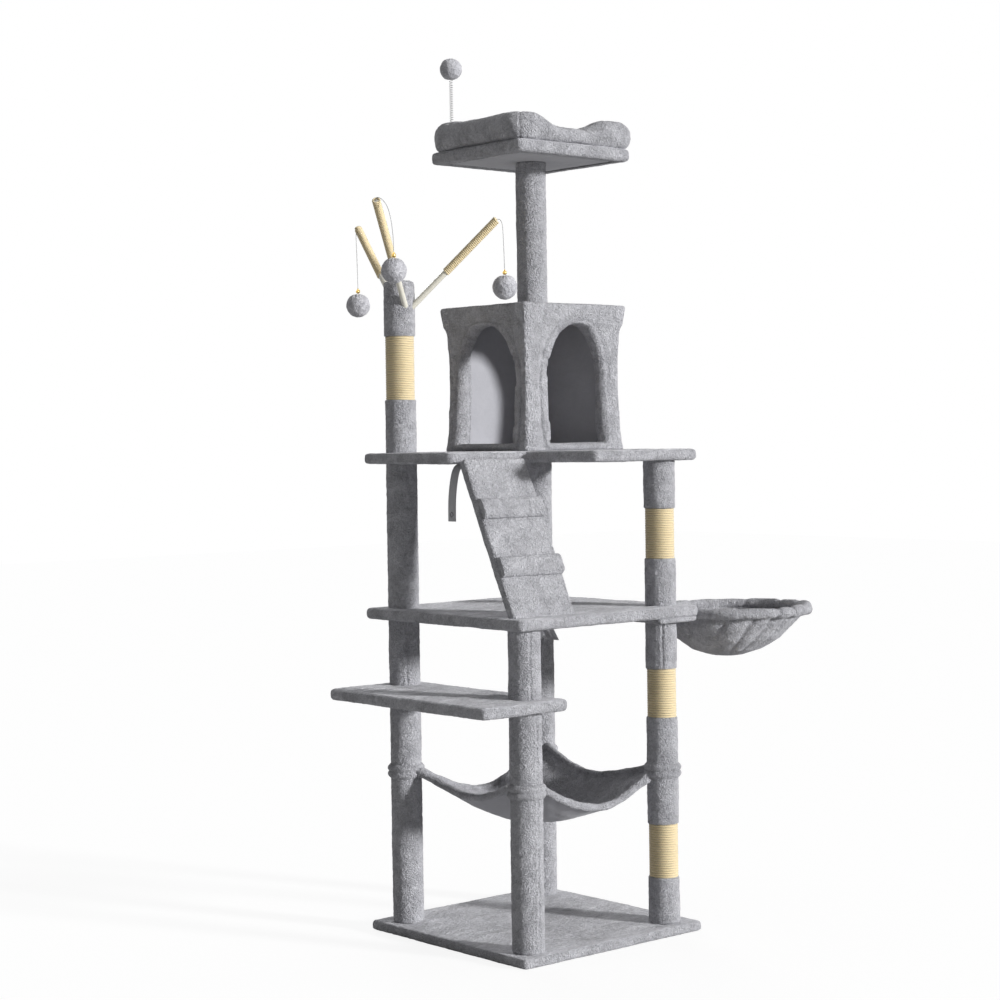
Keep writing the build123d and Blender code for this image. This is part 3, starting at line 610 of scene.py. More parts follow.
def board_cover(name, corners, low, high, wrinkle=0.0):
    """A plush cover round a board with this outline, between two heights; its top may be wrinkled."""
    rings = []
    for turn in range(-90, 91, 18):
        inset = board_round * (1 - cos(radians(turn)))
        level = low + board_round if turn < 0 else high - board_round
        height = (low + high) / 2 if turn == 0 else level + board_round * sin(radians(turn))
        ring = rounded_outline(drawn_in(corners, inset - pile_depth), board_corner - inset)
        rings.append([(p.x, p.y, height) for p in ring])
    mesh = softened(skin(rings), 3.3 * mm, 3)
    points = coordinates(mesh)
    under = points[:, 2] < low + 3 * mm
    edge = from_outline(points, corners)
    groove = np.exp(-((edge - frame_inset) / groove_width) ** 2) * groove_depth
    recess = np.clip((edge - frame_inset) / (4 * mm), 0, 1) * recess_depth
    points[under, 2] += (groove + recess)[under]
    on_top = np.clip((points[:, 2] - high + 2 * mm) / (2 * mm), 0, 1)
    points[:, 2] += wrinkle * folds(points, edge, high) * on_top
    mesh = ruffled(put_back(mesh, points))
    if low < mm:
        points = coordinates(mesh)
        points[:, 2] = np.maximum(points[:, 2], low)
        put_back(mesh, points)
    else:
        grown(mesh, pile_depth)
    for extra in (brushed_plush, lining, painted_groove_shade):
        mesh.materials.append(extra)
    # Tops take the brushed plush. Underneath, a band along the groove takes the painted shade, and the
    # faces inside it take the lining.
    for face in mesh.polygons:
        inside = edge[list(face.vertices)].mean() - frame_inset
        if face.normal.z > 0.8:
            face.material_index = brushed_slot
        elif face.center.z < low + 8 * mm and inside > -shade_band_width:
            face.material_index = painted_groove_shade_slot if inside < shade_band_width else lining_slot
    return keep_piece(mesh, name.replace("_cover", "_plush"), plush, "root", "plush", name)


def box_corners(node):
    """The four corners of a node's box in plan, counterclockwise, and its two heights."""
    low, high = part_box(node)
    return [(low[0], low[1]), (high[0], low[1]), (high[0], high[1]), (low[0], high[1])], low[2], high[2]


for node, wrinkle in (("base_cover", 1.2 * mm), ("step_cover", 2.2 * mm),
                      ("middle_platform_cover", 1.4 * mm)):
    board_cover(node, *box_corners(node), wrinkle)
square, low, high = box_corners("upper_platform_cover")
notch_x, notch_y = -42 * mm, -37 * mm
notched = [(notch_x, square[0][1]), *square[1:], (square[0][0], notch_y), (notch_x, notch_y)]
board_cover("upper_platform_cover", notched, low, high)
board_cover("perch_cover", *box_corners("perch_cover"))
bracket, low, high = box_corners("basket_bracket_cover")
rings = []
for z, inset in ((low, 3 * mm), (low + 3 * mm, 0), (high - 1 * mm, 0), (high, 1 * mm)):
    ring = rounded_outline(drawn_in(bracket, inset), board_corner - inset)
    rings.append([(p.x, p.y, z) for p in ring])
keep_piece(ruffled(softened(skin(rings), 3 * mm, 2)), "bracket_plush", plush, "root", "plush",
           "basket_bracket_cover")

# %% [markdown]
# ## Post wraps
# Every post is a cardboard tube in a plush wrap. The wrap meets itself in one upright seam, a
# narrow valley between two soft ridges, and its ends are rolled in. Rings of points follow a
# closed profile, out along the wrap and back along the tube, so the wrap is a true sleeve.

# %% Wraps
tube_radius, wrap_radius = 26 * mm, 33 * mm
# Where each wrap's seam is, in degrees about its post, from the lowest wrap up.
seam_away = 55.0
seams = {"left": [seam_away, -121.0, seam_away, seam_away, seam_away], "front": [-88.0, -111.0],
         "right": [seam_away, seam_away, -129.5, seam_away, seam_away], "back": [seam_away] * 2,
         "perch": [seam_away]}
round_steps, row = 96, 2.3 * mm
# A rolled end: how far it is drawn in, and how high that is above the end, in millimetres.
rolled_end = ((5.0, 0.0), (1.6, 0.4), (0.4, 1.6), (0.0, 3.6))
top_round = 8 * mm


def seam_shape(angle, seam, height):
    """How far the wrap stands in or out near its seam, which wanders a little on its way up."""
    wander = 0.014 * sin(height * 60) + 0.008 * sin(height * 190)
    away = (angle - seam - wander + pi) % (2 * pi) - pi
    across = away * wrap_radius / mm
    ridges, valley = exp(-((abs(across) - 5) / 2.4) ** 2), exp(-(across / 1.9) ** 2)
    return (0.6 * ridges - 2.1 * valley) * mm


def wrap_ring(x, y, z, radius, seam, share=1.0):
    """One ring of a wrap."""
    ring = []
    for i in range(round_steps):
        angle = 2 * pi * i / round_steps
        reach = radius + share * seam_shape(angle, seam, z)
        ring.append((x + reach * cos(angle), y + reach * sin(angle), z))
    return ring


def wrap(x, y, low, high, seam, closed_top=False):
    """A plush sleeve, or a capped one for the top of a post."""
    seam = radians(seam)
    rows = max(2, round((high - low) / row))
    rings = [wrap_ring(x, y, low + up * mm, wrap_radius - inset * mm, seam, 0.4)
             for inset, up in rolled_end]
    first, last = low + 5.5 * mm, high - (9 * mm if closed_top else 5.5 * mm)
    for i in range(rows + 1):
        rings.append(wrap_ring(x, y, first + (last - first) * i / rows, wrap_radius, seam))
    if closed_top:
        for turn in range(10, 91, 16):
            rings.append(wrap_ring(x, y, high - top_round * (1 - sin(radians(turn))),
                                   wrap_radius - top_round * (1 - cos(radians(turn))), seam, 0.6))
        rings += [wrap_ring(x, y, high, reach * mm, seam, 0.0) for reach in (21, 17, 13, 9, 5, 1)]
        return skin(rings)
    rings += [wrap_ring(x, y, high - up * mm, wrap_radius - inset * mm, seam, 0.4)
              for inset, up in reversed(rolled_end)]
    rings += [wrap_ring(x, y, z, tube_radius, seam, 0.0) for z in (high, low)]
    return skin(rings, loop=True)


toy_post_top = float(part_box("left_post_cover")[1][2])
for name, angles in seams.items():
    sleeves = []
    for solid, seam in zip(solids(f"{name}_post_cover"), angles):
        low, high = extent(solid)
        x, y, _ = (low + high) / 2
        sleeves.append(wrap(x, y, low[2], high[2], seam, closed_top=abs(high[2] - toy_post_top) < mm))
    keep_piece(ruffled(joined(sleeves)), f"{name}_post_plush", plush, "root", "plush",
               f"{name}_post_cover")

# %% [markdown]
# ## Sisal
# The bare lengths between the wraps are wound with three-strand sisal rope, turn against turn,
# and the toy wands with thinner cord. A winding follows a rule, so Geometry Nodes make it: a
# Spiral curve, tilted as it runs so that its three-lobed section twists like laid rope.

# %% The winding tree
winding, winding_inputs, taken = node_tree("rope winding", "GeometryNodeTree",
                                           (("Start", "Geometry", None), ("Radius", "Float", 0.03),
                                            ("Height", "Float", 0.1), ("Turns", "Float", 20.0),
                                            ("Rope radius", "Float", 0.0025), ("Lay", "Float", 0.015),
                                            ("Points each turn", "Int", 96), ("Finish", "Material", None)),
                                           [("Rope", "Geometry")])
spiral = put(winding, "GeometryNodeCurveSpiral", Resolution=taken["Points each turn"],
             Rotations=taken["Turns"], Start_Radius=taken["Radius"], End_Radius=taken["Radius"],
             Height=taken["Height"])
along = put(winding, "GeometryNodeSplineParameter").outputs["Length"]
twist = calc(winding, "MULTIPLY", calc(winding, "DIVIDE", along, taken["Lay"]), 2 * pi)
tilted = put(winding, "GeometryNodeSetCurveTilt", Curve=spiral.outputs[0], Tilt=twist)
section = put(winding, "GeometryNodeCurvePrimitiveCircle", Resolution=9, Radius=taken["Rope radius"])
index = put(winding, "GeometryNodeInputIndex").outputs[0]
strand = calc(winding, "COSINE", calc(winding, "MULTIPLY", index, 2 * pi / 3))
lobed_place = put(winding, "ShaderNodeVectorMath", operation="SCALE",
                  Scale=calc(winding, "MULTIPLY_ADD", strand, -0.09, 0.93))
winding.links.new(put(winding, "GeometryNodeInputPosition").outputs[0], lobed_place.inputs[0])
lobed = put(winding, "GeometryNodeSetPosition", Geometry=section.outputs[0],
            Position=lobed_place.outputs[0])
rope = put(winding, "GeometryNodeCurveToMesh", Curve=tilted.outputs[0], Profile_Curve=lobed.outputs[0])
rope.inputs["Fill Caps"].default_value = True
end_tree(winding, rope.outputs[0], taken["Finish"])

# Neighbouring turns press into each other, so a rope is this much thicker than its spacing.
rope_press = 1.14


def wound(start, axis, length, outer, rope_radius, points_each_turn):
    """Rope wound round an axis from a start point, as a mesh; its first and last turns tuck in."""
    turns = round(length / (2 * rope_radius)) + 1
    values = {"Radius": outer - rope_radius * rope_press, "Height": length + 2 * rope_radius,
              "Turns": float(turns), "Rope radius": rope_radius * rope_press, "Lay": rope_radius * 6,
              "Points each turn": points_each_turn, "Finish": sisal}
    settings = {winding_inputs[name]: value for name, value in values.items()}
    mesh = evaluated(bpy.data.meshes.new("start"), ("NODES", {"node_group": winding, **settings}))
    turned = axis.to_track_quat("Z", "Y").to_matrix().to_4x4()
    mesh.transform(Matrix.Translation(start - axis * rope_radius) @ turned)
    return facing_out(mesh)


# %% Windings on posts and wands
post_rope_radius, wand_rope_radius = 2.5 * mm, 2.0 * mm
for name in ("left", "right"):
    ropes = []
    for solid in solids(f"{name}_post_sisal"):
        low, high = extent(solid)
        base = Vector(((low[0] + high[0]) / 2, (low[1] + high[1]) / 2, low[2]))
        ropes.append(wound(base, Vector((0, 0, 1)), float(high[2] - low[2]),
                           float(high[0] - low[0]) / 2, post_rope_radius, 96))
    keep_piece(joined(ropes), f"{name}_post_rope", sisal, "root", "sisal", f"{name}_post_sisal")


def long_axis(mesh):
    """The two ends of a straight bar's axis, the upper one last, and the bar's radius."""
    points = coordinates(mesh)
    middle = points.mean(axis=0)
    axis = np.linalg.svd(points - middle, full_matrices=False)[2][0]
    axis *= np.sign(axis[2])
    reach = (points - middle) @ axis
    across = (points - middle) - reach[:, None] * axis
    ends = [middle + axis * reach.min(), middle + axis * reach.max()]
    return Vector(ends[0]), Vector(ends[1]), float(np.linalg.norm(across, axis=1).max())


ropes = []
for solid in solids("wand_sisal"):
    lower, upper, outer = long_axis(solid)
    run = upper - lower
    ropes.append(wound(lower, run.normalized(), run.length, outer, wand_rope_radius, 48))
keep_piece(joined(ropes), "wand_rope", sisal, "root", "sisal", "wand_sisal")

# %% [markdown]
# ## Condo
# The condo is one cover pulled over five panels. Copies of the five solids are remeshed together,
# which closes their joints into one cloth. The cover is padded where it is gathered: it stands
# out in a lip round the top and the foot, and in a thick roll round each doorway, with a raised
# edge outside it. The roll is thickest beside the corner between the two doorways. Inside, the
# walls that face the doorways have a smooth lining.

# %% Condo cover
walls = [f"condo_{side}_wall" for side in ("left", "front", "right", "back")] + ["condo_roof"]
shell = softened(joined([solid for wall in walls for solid in solids(wall)]), 3.9 * mm, 5)
low, high = extent(shell)
middle, half = (low + high) / 2, (high - low) / 2
wall, top_lip, under_lip, foot_lip, corner_round = 20 * mm, 7 * mm, 3 * mm, 2.5 * mm, 5 * mm
door_pad, gathered_pad, door_roll, folded_in = 4 * mm, 12 * mm, 12 * mm, 55 * mm
door_bead, door_valley = 4.2 * mm, 3 * mm
lined_slot, coarse_slot = 1, 2
arch_low, arch_drop = 1290 * mm, 14 * mm

points, facing = coordinates(shell), directions(shell)
away = (points - middle) / half
reach = np.abs(away[:, :2]).max(axis=1)
axis = np.abs(away[:, :2]).argmax(axis=1)
every = np.arange(len(points))
outer = np.clip((reach - 0.88) / 0.05, 0, 1)
inner = np.clip((1 - reach) * half.min() / wall, 0, 1)
height, room_above = points[:, 2] - low[2], high[2] - points[:, 2]
doorway = (reach > 0.84) & (np.abs(facing[every, axis]) < 0.6) & (np.abs(away[every, 1 - axis]) < 0.86)
doorway &= (height > 9 * mm) & (room_above > 16 * mm)
edge = KDTree(int(doorway.sum()))
for i, point in enumerate(points[doorway]):
    edge.insert(point, i)
edge.balance()
gap = np.array([edge.find(point)[2] for point in points])

lip = top_lip * np.exp(-room_above / (20 * mm)) + foot_lip * np.exp(-(height / (16 * mm)) ** 2)
lip += under_lip * np.exp(-((room_above - 40 * mm) / (13 * mm)) ** 2)
bead = door_bead * np.exp(-((gap - 5 * mm) / (3.5 * mm)) ** 2)
bead -= door_valley * np.exp(-((gap - 13 * mm) / (4 * mm)) ** 2)
points[:, :2] += away[:, :2] / reach[:, None] * ((lip + bead + pile_depth) * outer)[:, None]
corner = np.clip(((reach + np.abs(away[:, :2]).min(axis=1)) / 2 - 0.88) / 0.12, 0, 1.1)
rounding = corner_round * np.clip(room_above / (50 * mm), 0.3, 1)
points[:, :2] -= away[:, :2] * (rounding * corner ** 2 * outer)[:, None]
pad = door_pad + gathered_pad * np.clip(facing[every, 1 - axis], 0, 1)
points[doorway] += facing[doorway] * pad[doorway, None]
points[:, 2] = np.interp(points[:, 2], (low[2], arch_low, high[2] - wall, high[2]),
                         (low[2], arch_low, high[2] - wall - arch_drop, high[2]))
facing_door = away[every, axis] < 0
points[every, axis] += facing_door * door_roll * inner * np.exp(-(gap / (15 * mm)) ** 2)
shell = ruffled(evaluated(put_back(shell, points), ("SMOOTH", {"factor": 0.5, "iterations": 2})),
                Swell_height=1.3 * mm, Lump_height=0.5 * mm, Tuft_height=0.5 * mm)
shell.materials.append(lining)
shell.materials.append(coarse_plush)
for face in shell.polygons:
    from_edge = np.abs(np.abs(np.array(face.center[:2]) - middle[:2]) - half[:2])
    if from_edge.max() < 24 * mm:
        face.material_index = coarse_slot
    for side in (0, 1):
        in_from_wall = high[side] - face.center[side]
        if face.normal[side] < -0.7 and 0.6 * wall < in_from_wall < 2.3 * wall:
            lined = face.center[1 - side] > low[1 - side] + folded_in
            face.material_index = lined_slot if lined else 0
print("doorway points:", int(doorway.sum()))
keep_piece(shell, "condo_plush", plush, "root", "plush", *walls)

# %% [markdown]
# ## Perch bolster
# The bolster round the perch is a stuffed tube. Its CAD solid has the right outline, with a dip
# at the front to climb in by, so a copy drawn in a little is blown up by Cloth with pressure and
# no gravity. The travel of each point is capped, because the cover can't stretch for ever.
# Its top is then crowned where the filling is full, let down in two dips at the front, and its
# right end bulges. The mitred corners are sewn, and their seams are pressed in last.

# %% Stuffing by simulation


def stuffed(mesh, voxel, shrink, pressure, cap, floor_height, frames=20):
    """A cloth skin swollen by pressure, each point moving no further than cap."""
    mesh = softened(mesh, voxel, 3)
    start = coordinates(mesh) - directions(mesh) * shrink
    put_back(mesh, start)
    worker = bpy.data.objects.new("stuffing", mesh)
    scene.collection.objects.link(worker)
    cloth = worker.modifiers.new("cloth", "CLOTH").settings
    cloth.use_pressure = True
    cloth.uniform_pressure_force = pressure
    cloth.effector_weights.gravity = 0
    scene.frame_start, scene.frame_end = 1, frames
    for step in range(1, frames + 1):
        scene.frame_set(step)
    graph = bpy.context.evaluated_depsgraph_get()
    swollen = bpy.data.meshes.new_from_object(worker.evaluated_get(graph), depsgraph=graph)
    travel = coordinates(swollen) - start
    bpy.data.objects.remove(worker)
    scene.frame_set(1)
    length = np.linalg.norm(travel, axis=1, keepdims=True)
    ended = start + travel * np.minimum(1, cap / np.maximum(length, 1e-9))
    ended[:, 2] = np.maximum(ended[:, 2], floor_height)
    return put_back(mesh, ended)


def pressed(mesh, distance, width, depth):
    """Sinks a sewn line into a skin; distance gives each point's distance from the line."""
    points = coordinates(mesh)
    sink = np.exp(-((distance(points)) / width) ** 2) * depth
    return put_back(mesh, points - directions(mesh) * sink[:, None])


low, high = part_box("perch_bolster")
centre = [(float(a) + float(b)) / 2 for a, b in zip(low, high)]
reach = [(float(b) - float(a)) / 2 for a, b in zip(low, high)]
crown, foot_dimple, bulge, side_lift, end_bulge = 11 * mm, 5 * mm, 9.5 * mm, 7 * mm, 14 * mm
# Along the front: where, as a share of its width, how wide, and how far the top is lifted.
front_lifts = ((0.33, 0.10, -8 * mm), (0.64, 0.14, -5.5 * mm), (0.97, 0.08, 6 * mm))
body = stuffed(solids("perch_bolster")[0], voxel=5 * mm, shrink=2 * mm, pressure=4.0, cap=6 * mm,
               floor_height=float(low[2]))
body = evaluated(body, ("SUBSURF", {"levels": 1, "render_levels": 1}))
points = coordinates(body)
full = np.clip((points[:, 2] - low[2]) / (high[2] - low[2]), 0, 1.2)
spring_foot = (np.array(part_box("spring_foot")[0]) + np.array(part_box("spring_foot")[1])) / 2
from_foot = np.linalg.norm(points[:, :2] - spring_foot[:2], axis=1)
points[:, 2] += crown * full ** 1.5 - foot_dimple * full ** 4 * np.exp(-(from_foot / (10 * mm)) ** 2)
beside = (points[:, :2] - np.array(low[:2])) / (np.array(high[:2]) - np.array(low[:2]))
left_side, behind = np.exp(-(beside[:, 0] / 0.3) ** 2), np.clip(beside[:, 1] * 2 - 0.2, 0, 1)
points[:, 2] += side_lift * full ** 2 * left_side * behind
at_front = np.clip(1 - beside[:, 1] * 3, 0, 1)
for place, spread, lift in front_lifts:
    points[:, 2] += lift * full ** 2 * np.exp(-((beside[:, 0] - place) / spread) ** 2) * at_front
right_end = np.clip(beside[:, 0] / 0.45 - 1.22, 0, 1)
points[:, 0] += end_bulge * right_end * (0.55 + 0.45 * np.sin(np.clip(full, 0, 1) * pi))
outward = (points[:, :2] - np.array(centre[:2])) / np.array(reach[:2])
overhang = np.clip((outward - np.sign(outward) * 0.75) / 0.25, -1, 1) * (np.abs(outward) > 0.75)
points[:, :2] += bulge * overhang * np.sin(np.clip(full, 0.02, 0.98) * pi)[:, None] ** 0.5
put_back(body, points)


def from_mitre(points):
    """Distance from the nearest of the bolster's four mitre planes."""
    past_x, past_y = [np.abs(points[:, k] - centre[k]) - reach[k] for k in (0, 1)]
    return np.abs(past_x - past_y) / sqrt(2)


body = pressed(body, from_mitre, width=2.2 * mm, depth=1.5 * mm)
bolster = keep_piece(ruffled(body, Swell_size=0.06, Swell_height=2 * mm), "bolster_plush", plush,
                     "root", "plush", "perch_bolster")

# %% [markdown]
# ## Ladder
# The ladder is a covered board on two hinges, with two padded rungs across it. It lifts on its
# hinge pins, so its cover and rungs ride on the ladder. The cover's outer skin is taken from
# the CAD solid, which already leans at the ladder's slope.

# %% Ladder cover and rungs
outer_skin = max(solids("ladder_cover"), key=lambda m: float(np.prod(extent(m)[1] - extent(m)[0])))
keep_piece(ruffled(softened(outer_skin, 3.5 * mm, 3)), "ladder_plush", plush, "ladder", "plush",
           "ladder_cover")
rung_pads = [softened(solid, 3 * mm, 5) for solid in solids("ladder_rungs")]
rungs = keep_piece(ruffled(joined(rung_pads)), "rung_pads", plush, "ladder", "plush", "ladder_rungs")

# %% [markdown]
# ## Hammock
# The hammock is a square of plush with its sides cut in, hung by its corners from sleeves round
# the four posts. Its cloth is part of a bowl: rings of points run from the middle out to the
# hem along the top and back along the underside. Each side is rolled into a thick hem. The cloth
# is not level: its corners are let down and its hems pulled up, each by its own amount.

# %% Hammock cloth
hang_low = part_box("hammock_sheet")[0]
posts = [extent(solid) for solid in solids("hammock_sleeves")]
post_spots = sorted((((a[0] + b[0]) / 2, (a[1] + b[1]) / 2) for a, b in posts),
                    key=lambda p: atan2(p[1] + 6 * mm, p[0] + 4.5 * mm))
sleeve_low = float(min(a[2] for a, b in posts))
sleeve_high = float(max(b[2] for a, b in posts))
hang_middle = np.mean(post_spots, axis=0)
cloth_half, bow, sleeve_reach = 3.5 * mm, 24 * mm, 38 * mm
corner_lift = 11 * mm
bottom = float(hang_low[2]) + cloth_half + 12 * mm
# How far the cloth is pulled up, in millimetres: the two corners with the lower y and the two
# with the higher, each pair from left to right along x, and the hems on the -y, -x, +x, +y sides.
corner_pull = ((-1, -25), (-18, -9))
hem_pull = (18, 32, 50, 16)
front_dip, dip_place, dip_spread = 16.5 * mm, 0.36, 0.36
half_span_x, half_span_y, hem_at, bowl_reach = 192 * mm, 194 * mm, 0.88, 0.3
fold_height, folds_each_turn, fold_reach = 3.2 * mm, 9, 95 * mm
seat = np.linalg.norm(np.array(post_spots[0]) - hang_middle) - 41 * mm
rise = (sleeve_low + sleeve_high) / 2 - 9 * mm - bottom - corner_lift
bowl_radius = (seat ** 2 + rise ** 2) / (2 * rise)
side_steps, corner_steps = 34, 4
side_trim = 0.81


def hang_height(x, y):
    """The cloth's height: a bowl pulled about at its corners and hems, with folds from each post."""
    from_x, from_y = x - hang_middle[0], y - hang_middle[1]
    away = hypot(from_x, from_y)
    height = bottom + bowl_radius - sqrt(bowl_radius ** 2 - min(away, bowl_reach) ** 2)
    height -= corner_lift * (away / seat) ** 2 * cos(4 * atan2(from_y, from_x))
    u, w = from_x / half_span_x, from_y / half_span_y
    near, far = [(left * (1 - u) + right * (1 + u)) / 2 for left, right in corner_pull]
    pull = (near * (1 - w) + far * (1 + w)) / 2
    for tightness, towards, along in zip(hem_pull, (-w, -u, u, w), (u, w, w, u)):
        pull += tightness * max(towards / hem_at, 0) ** 2 * max(1 - along * along, 0)
    height += pull * mm - front_dip * exp(-((u - dip_place) / dip_spread) ** 2) * max(-w, 0) ** 2
    for post_x, post_y in post_spots:
        near = hypot(x - post_x, y - post_y)
        straight_in = atan2(hang_middle[1] - post_y, hang_middle[0] - post_x)
        turn = atan2(y - post_y, x - post_x) - straight_in
        height += fold_height * cos(turn * folds_each_turn) * exp(-(near / fold_reach) ** 2)
    return height


rim, sides = [], []
for i, here in enumerate(post_spots):
    after = post_spots[(i + 1) % 4]
    run = np.array(after) - here
    inward = np.array((-run[1], run[0])) / np.linalg.norm(run)
    side = []
    for step in range(side_steps + 1):
        v = side_trim * (2 * step / side_steps - 1)
        side.append(np.array(here) + run * (v + 1) / 2 + inward * bow * (1 - v * v))
    sides.append(side)
for i, side in enumerate(sides):
    rim += side
    corner, following = np.array(post_spots[(i + 1) % 4]), sides[(i + 1) % 4][0]
    for step in range(1, corner_steps):
        on = step / corner_steps
        spoke = (side[-1] - corner) * (1 - on) + (following - corner) * on
        rim.append(corner + spoke / np.linalg.norm(spoke) * sleeve_reach)


def cloth_ring(share, side_of_cloth):
    """The rim's points drawn in to a share of their distance, on one face of the cloth."""
    ring = []
    for spot in rim:
        x, y = hang_middle + (spot - hang_middle) * share
        z = hang_height(x, y)
        tilt = Vector((hang_middle[0] - x, hang_middle[1] - y, bottom + bowl_radius - z)).normalized()
        ring.append(Vector((x, y, z)) + tilt * cloth_half * side_of_cloth)
    return ring


shares = [0.02] + [0.05 + 0.95 * i / 46 for i in range(47)]
cloth_rings = [cloth_ring(share, 1) for share in shares]
cloth_rings += [cloth_ring(share, -1) for share in reversed(shares)]
hammock_mesh = evaluated(skin(cloth_rings), ("SMOOTH", {"factor": 0.4, "iterations": 2}))
hammock_mesh = ruffled(hammock_mesh, Swell_size=0.05, Swell_height=1.8 * mm)
hammock_mesh.materials.append(lining)
for face in hammock_mesh.polygons:
    face.material_index = int(face.normal.z < 0)
hammock = keep_piece(hammock_mesh, "hammock_cloth", plush, "root", "plush", "hammock_sheet")

# %% Hammock hems and sleeves


def pipe(path, radius_at, count):
    """A closed tube along a path; radius_at gives the radius at a share of its length and an angle."""
    rings = []
    for i, here in enumerate(path):
        ahead = (Vector(path[min(i + 1, len(path) - 1)]) - Vector(path[max(i - 1, 0)])).normalized()
        sideways = ahead.cross(Vector((0, 0, 1))).normalized()
        upwards = sideways.cross(ahead)
        ring = []
        for j in range(count):
            angle = 2 * pi * j / count
            reach = radius_at(i / (len(path) - 1), angle)
            ring.append(Vector(here) + (sideways * cos(angle) + upwards * sin(angle)) * reach)
        rings.append(ring)
    return skin(rings)


def hem_radius(share, angle):
    """A rolled hem, fuller where it gathers at the sleeves, with the roll's edge under it."""
    fullness = 1 + 0.4 * abs(2 * share - 1) ** 7
    return (7.8 + 0.5 * sin(share * 41) + 0.4 * cos(2 * angle + share * 9)) * mm * fullness


hems = []
for side in sides:
    path = [(p[0], p[1], hang_height(*p) + 1.0 * mm) for p in side]
    path = [2 * Vector(path[0]) - Vector(path[3])] + path + [2 * Vector(path[-1]) - Vector(path[-4])]
    finer = [Vector(a).lerp(Vector(b), t) for a, b in zip(path, path[1:]) for t in (0, 1 / 3, 2 / 3)]
    hems.append(pipe(finer + [path[-1]], hem_radius, 20))
hem_piece = keep_piece(ruffled(joined(hems)), "hammock_hems", plush, "root", "plush")


def sleeve_mesh(x, y):
    """A gathered plush loop round a post: two soft rolls with a stitched valley between them."""
    middle, tall = (sleeve_low + sleeve_high) / 2, (sleeve_high - sleeve_low) / 2 + 1 * mm
    rings = []
    for i in range(40):
        turn = 2 * pi * i / 40
        level, out = sin(turn), max(cos(turn), 0)
        rolls = abs(sin(pi * level)) ** 0.6 * (1 - abs(level) ** 6) * out ** 0.3
        ring = []
        for j in range(96):
            angle = 2 * pi * j / 96
            gathers = 0.2 * sin(15 * angle + 3 * level) * out
            radius = wrap_radius + (0.3 + 2.4 * out ** 0.5 + 4.4 * rolls + gathers) * mm
            ring.append((x + radius * cos(angle), y + radius * sin(angle), middle + tall * level))
        rings.append(ring)
    return skin(rings, loop=True)


loops = ruffled(joined([sleeve_mesh(*spot) for spot in post_spots]), Lump_height=0.6 * mm,
                Tuft_height=0.4 * mm)
sleeve_piece = keep_piece(loops, "hammock_loops", plush, "root", "plush", "hammock_sleeves")

# %% [markdown]
# ## Basket
# A round bag hangs from a steel hoop. The hoop runs in a rolled casing, which is gathered where
# its ends meet at the outer side, and the bag below it falls in slanting pleats towards its
# lowest point, which leans in under the platform. The bag is lofted ring by ring.

# %% Basket bowl and casing
low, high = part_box("basket_rim")
hoop_middle = Vector(((low[0] + high[0]) / 2, (low[1] + high[1]) / 2, (low[2] + high[2]) / 2))
roll_radius = (high[2] - low[2]) / 2
hoop_radius = (high[0] - low[0]) / 2 - roll_radius
# The bag leans in towards this angle, and its casing is gathered at the far end of the hoop.
lean = radians(139.34)
outer_end = lean + pi
# The bag's profile in millimetres: at each drop below the hoop, its radius and its shift inwards.
bag_drops = [8.0, 20.0, 32.0, 62.0, 85.0, 99.0]
bag_radii = [143.5, 139.5, 134.0, 111.0, 75.0, 34.0]
bag_shifts = [0.0, 6.0, 12.0, 18.0, 21.0, 22.0]
bag_top, bag_depth, side_end = 8, 92.5, 0.86
bag_steps, bag_count, bag_thickness = 56, 260, 5
# Pleats: each one's angle from the gathered end, and its share of the full depth.
pleat_depth, pleat_width = 15.0, 12.0
pleats = [(-2.3, 0.3), (-1.75, 0.5), (-1.33, 0.8), (-1.02, 1.0), (-0.7, 1.0), (-0.34, 0.8),
          (0.3, 0.8), (0.72, 1.0), (1.1, 0.9), (1.6, 0.5), (2.3, 0.3)]


def bag_fold(depth, away, radius):
    """How far the bag is drawn in by its pleats, in millimetres; they slant as they run down."""
    drawn = 0.0
    for at, share in pleats:
        across = abs(away - at - 0.22 * depth * at) * radius
        drawn += share * exp(-across / pleat_width)
    return -pleat_depth * drawn * min(1, depth / 0.05) * max(0, 1 - depth / 0.92) ** 0.6


def bag_drop(depth):
    """How far below the hoop a ring of the bag lies, in millimetres."""
    return bag_top + bag_depth * sin(depth * pi / 2) ** 1.15


def bag_point(depth, angle, inset):
    """A point of the bag; depth runs from 0 at the hoop to 1 at the bottom's middle."""
    away = (angle - outer_end + pi) % (2 * pi) - pi
    drop = bag_drop(depth)
    shift = float(np.interp(drop, bag_drops, bag_shifts))
    radius = float(np.interp(bag_drop(min(depth, side_end)), bag_drops, bag_radii))
    if depth >= side_end:
        radius = radius * (1 - depth) / (1 - side_end)
    fold = (5 * exp(-(away / 1.5) ** 4) + bag_fold(depth, away, radius)) * min(1, radius / 50)
    radius = max(radius + fold - inset, 0.6 * (1 - depth) + 0.4)
    x, y = cos(lean) * shift + radius * cos(angle), sin(lean) * shift + radius * sin(angle)
    return hoop_middle + Vector((x, y, inset * depth ** 2 - drop)) * mm


def bag_ring(depth, inset):
    """One ring of the bag."""
    return [bag_point(depth, 2 * pi * j / bag_count, inset) for j in range(bag_count)]


depths = [i / bag_steps * 0.985 for i in range(bag_steps + 1)]
bag_rings = [bag_ring(depth, 0) for depth in reversed(depths)]
bag_rings += [bag_ring(depth, bag_thickness) for depth in depths]
bag_mesh = evaluated(skin(bag_rings), ("SMOOTH", {"factor": 0.5, "iterations": 2}))
bag = keep_piece(ruffled(bag_mesh, Swell_size=0.05, Swell_height=2 * mm), "basket_bag", plush, "root",
                 "plush", "basket_bowl")
# Angles from the gathered end at which the casing is pinched deeply, or creased a little.
pinches = [-1.05, -0.76, -0.34, 0.3, 0.72]
creases = [-2.4, -1.6, 1.3, 2.2, 3.0]


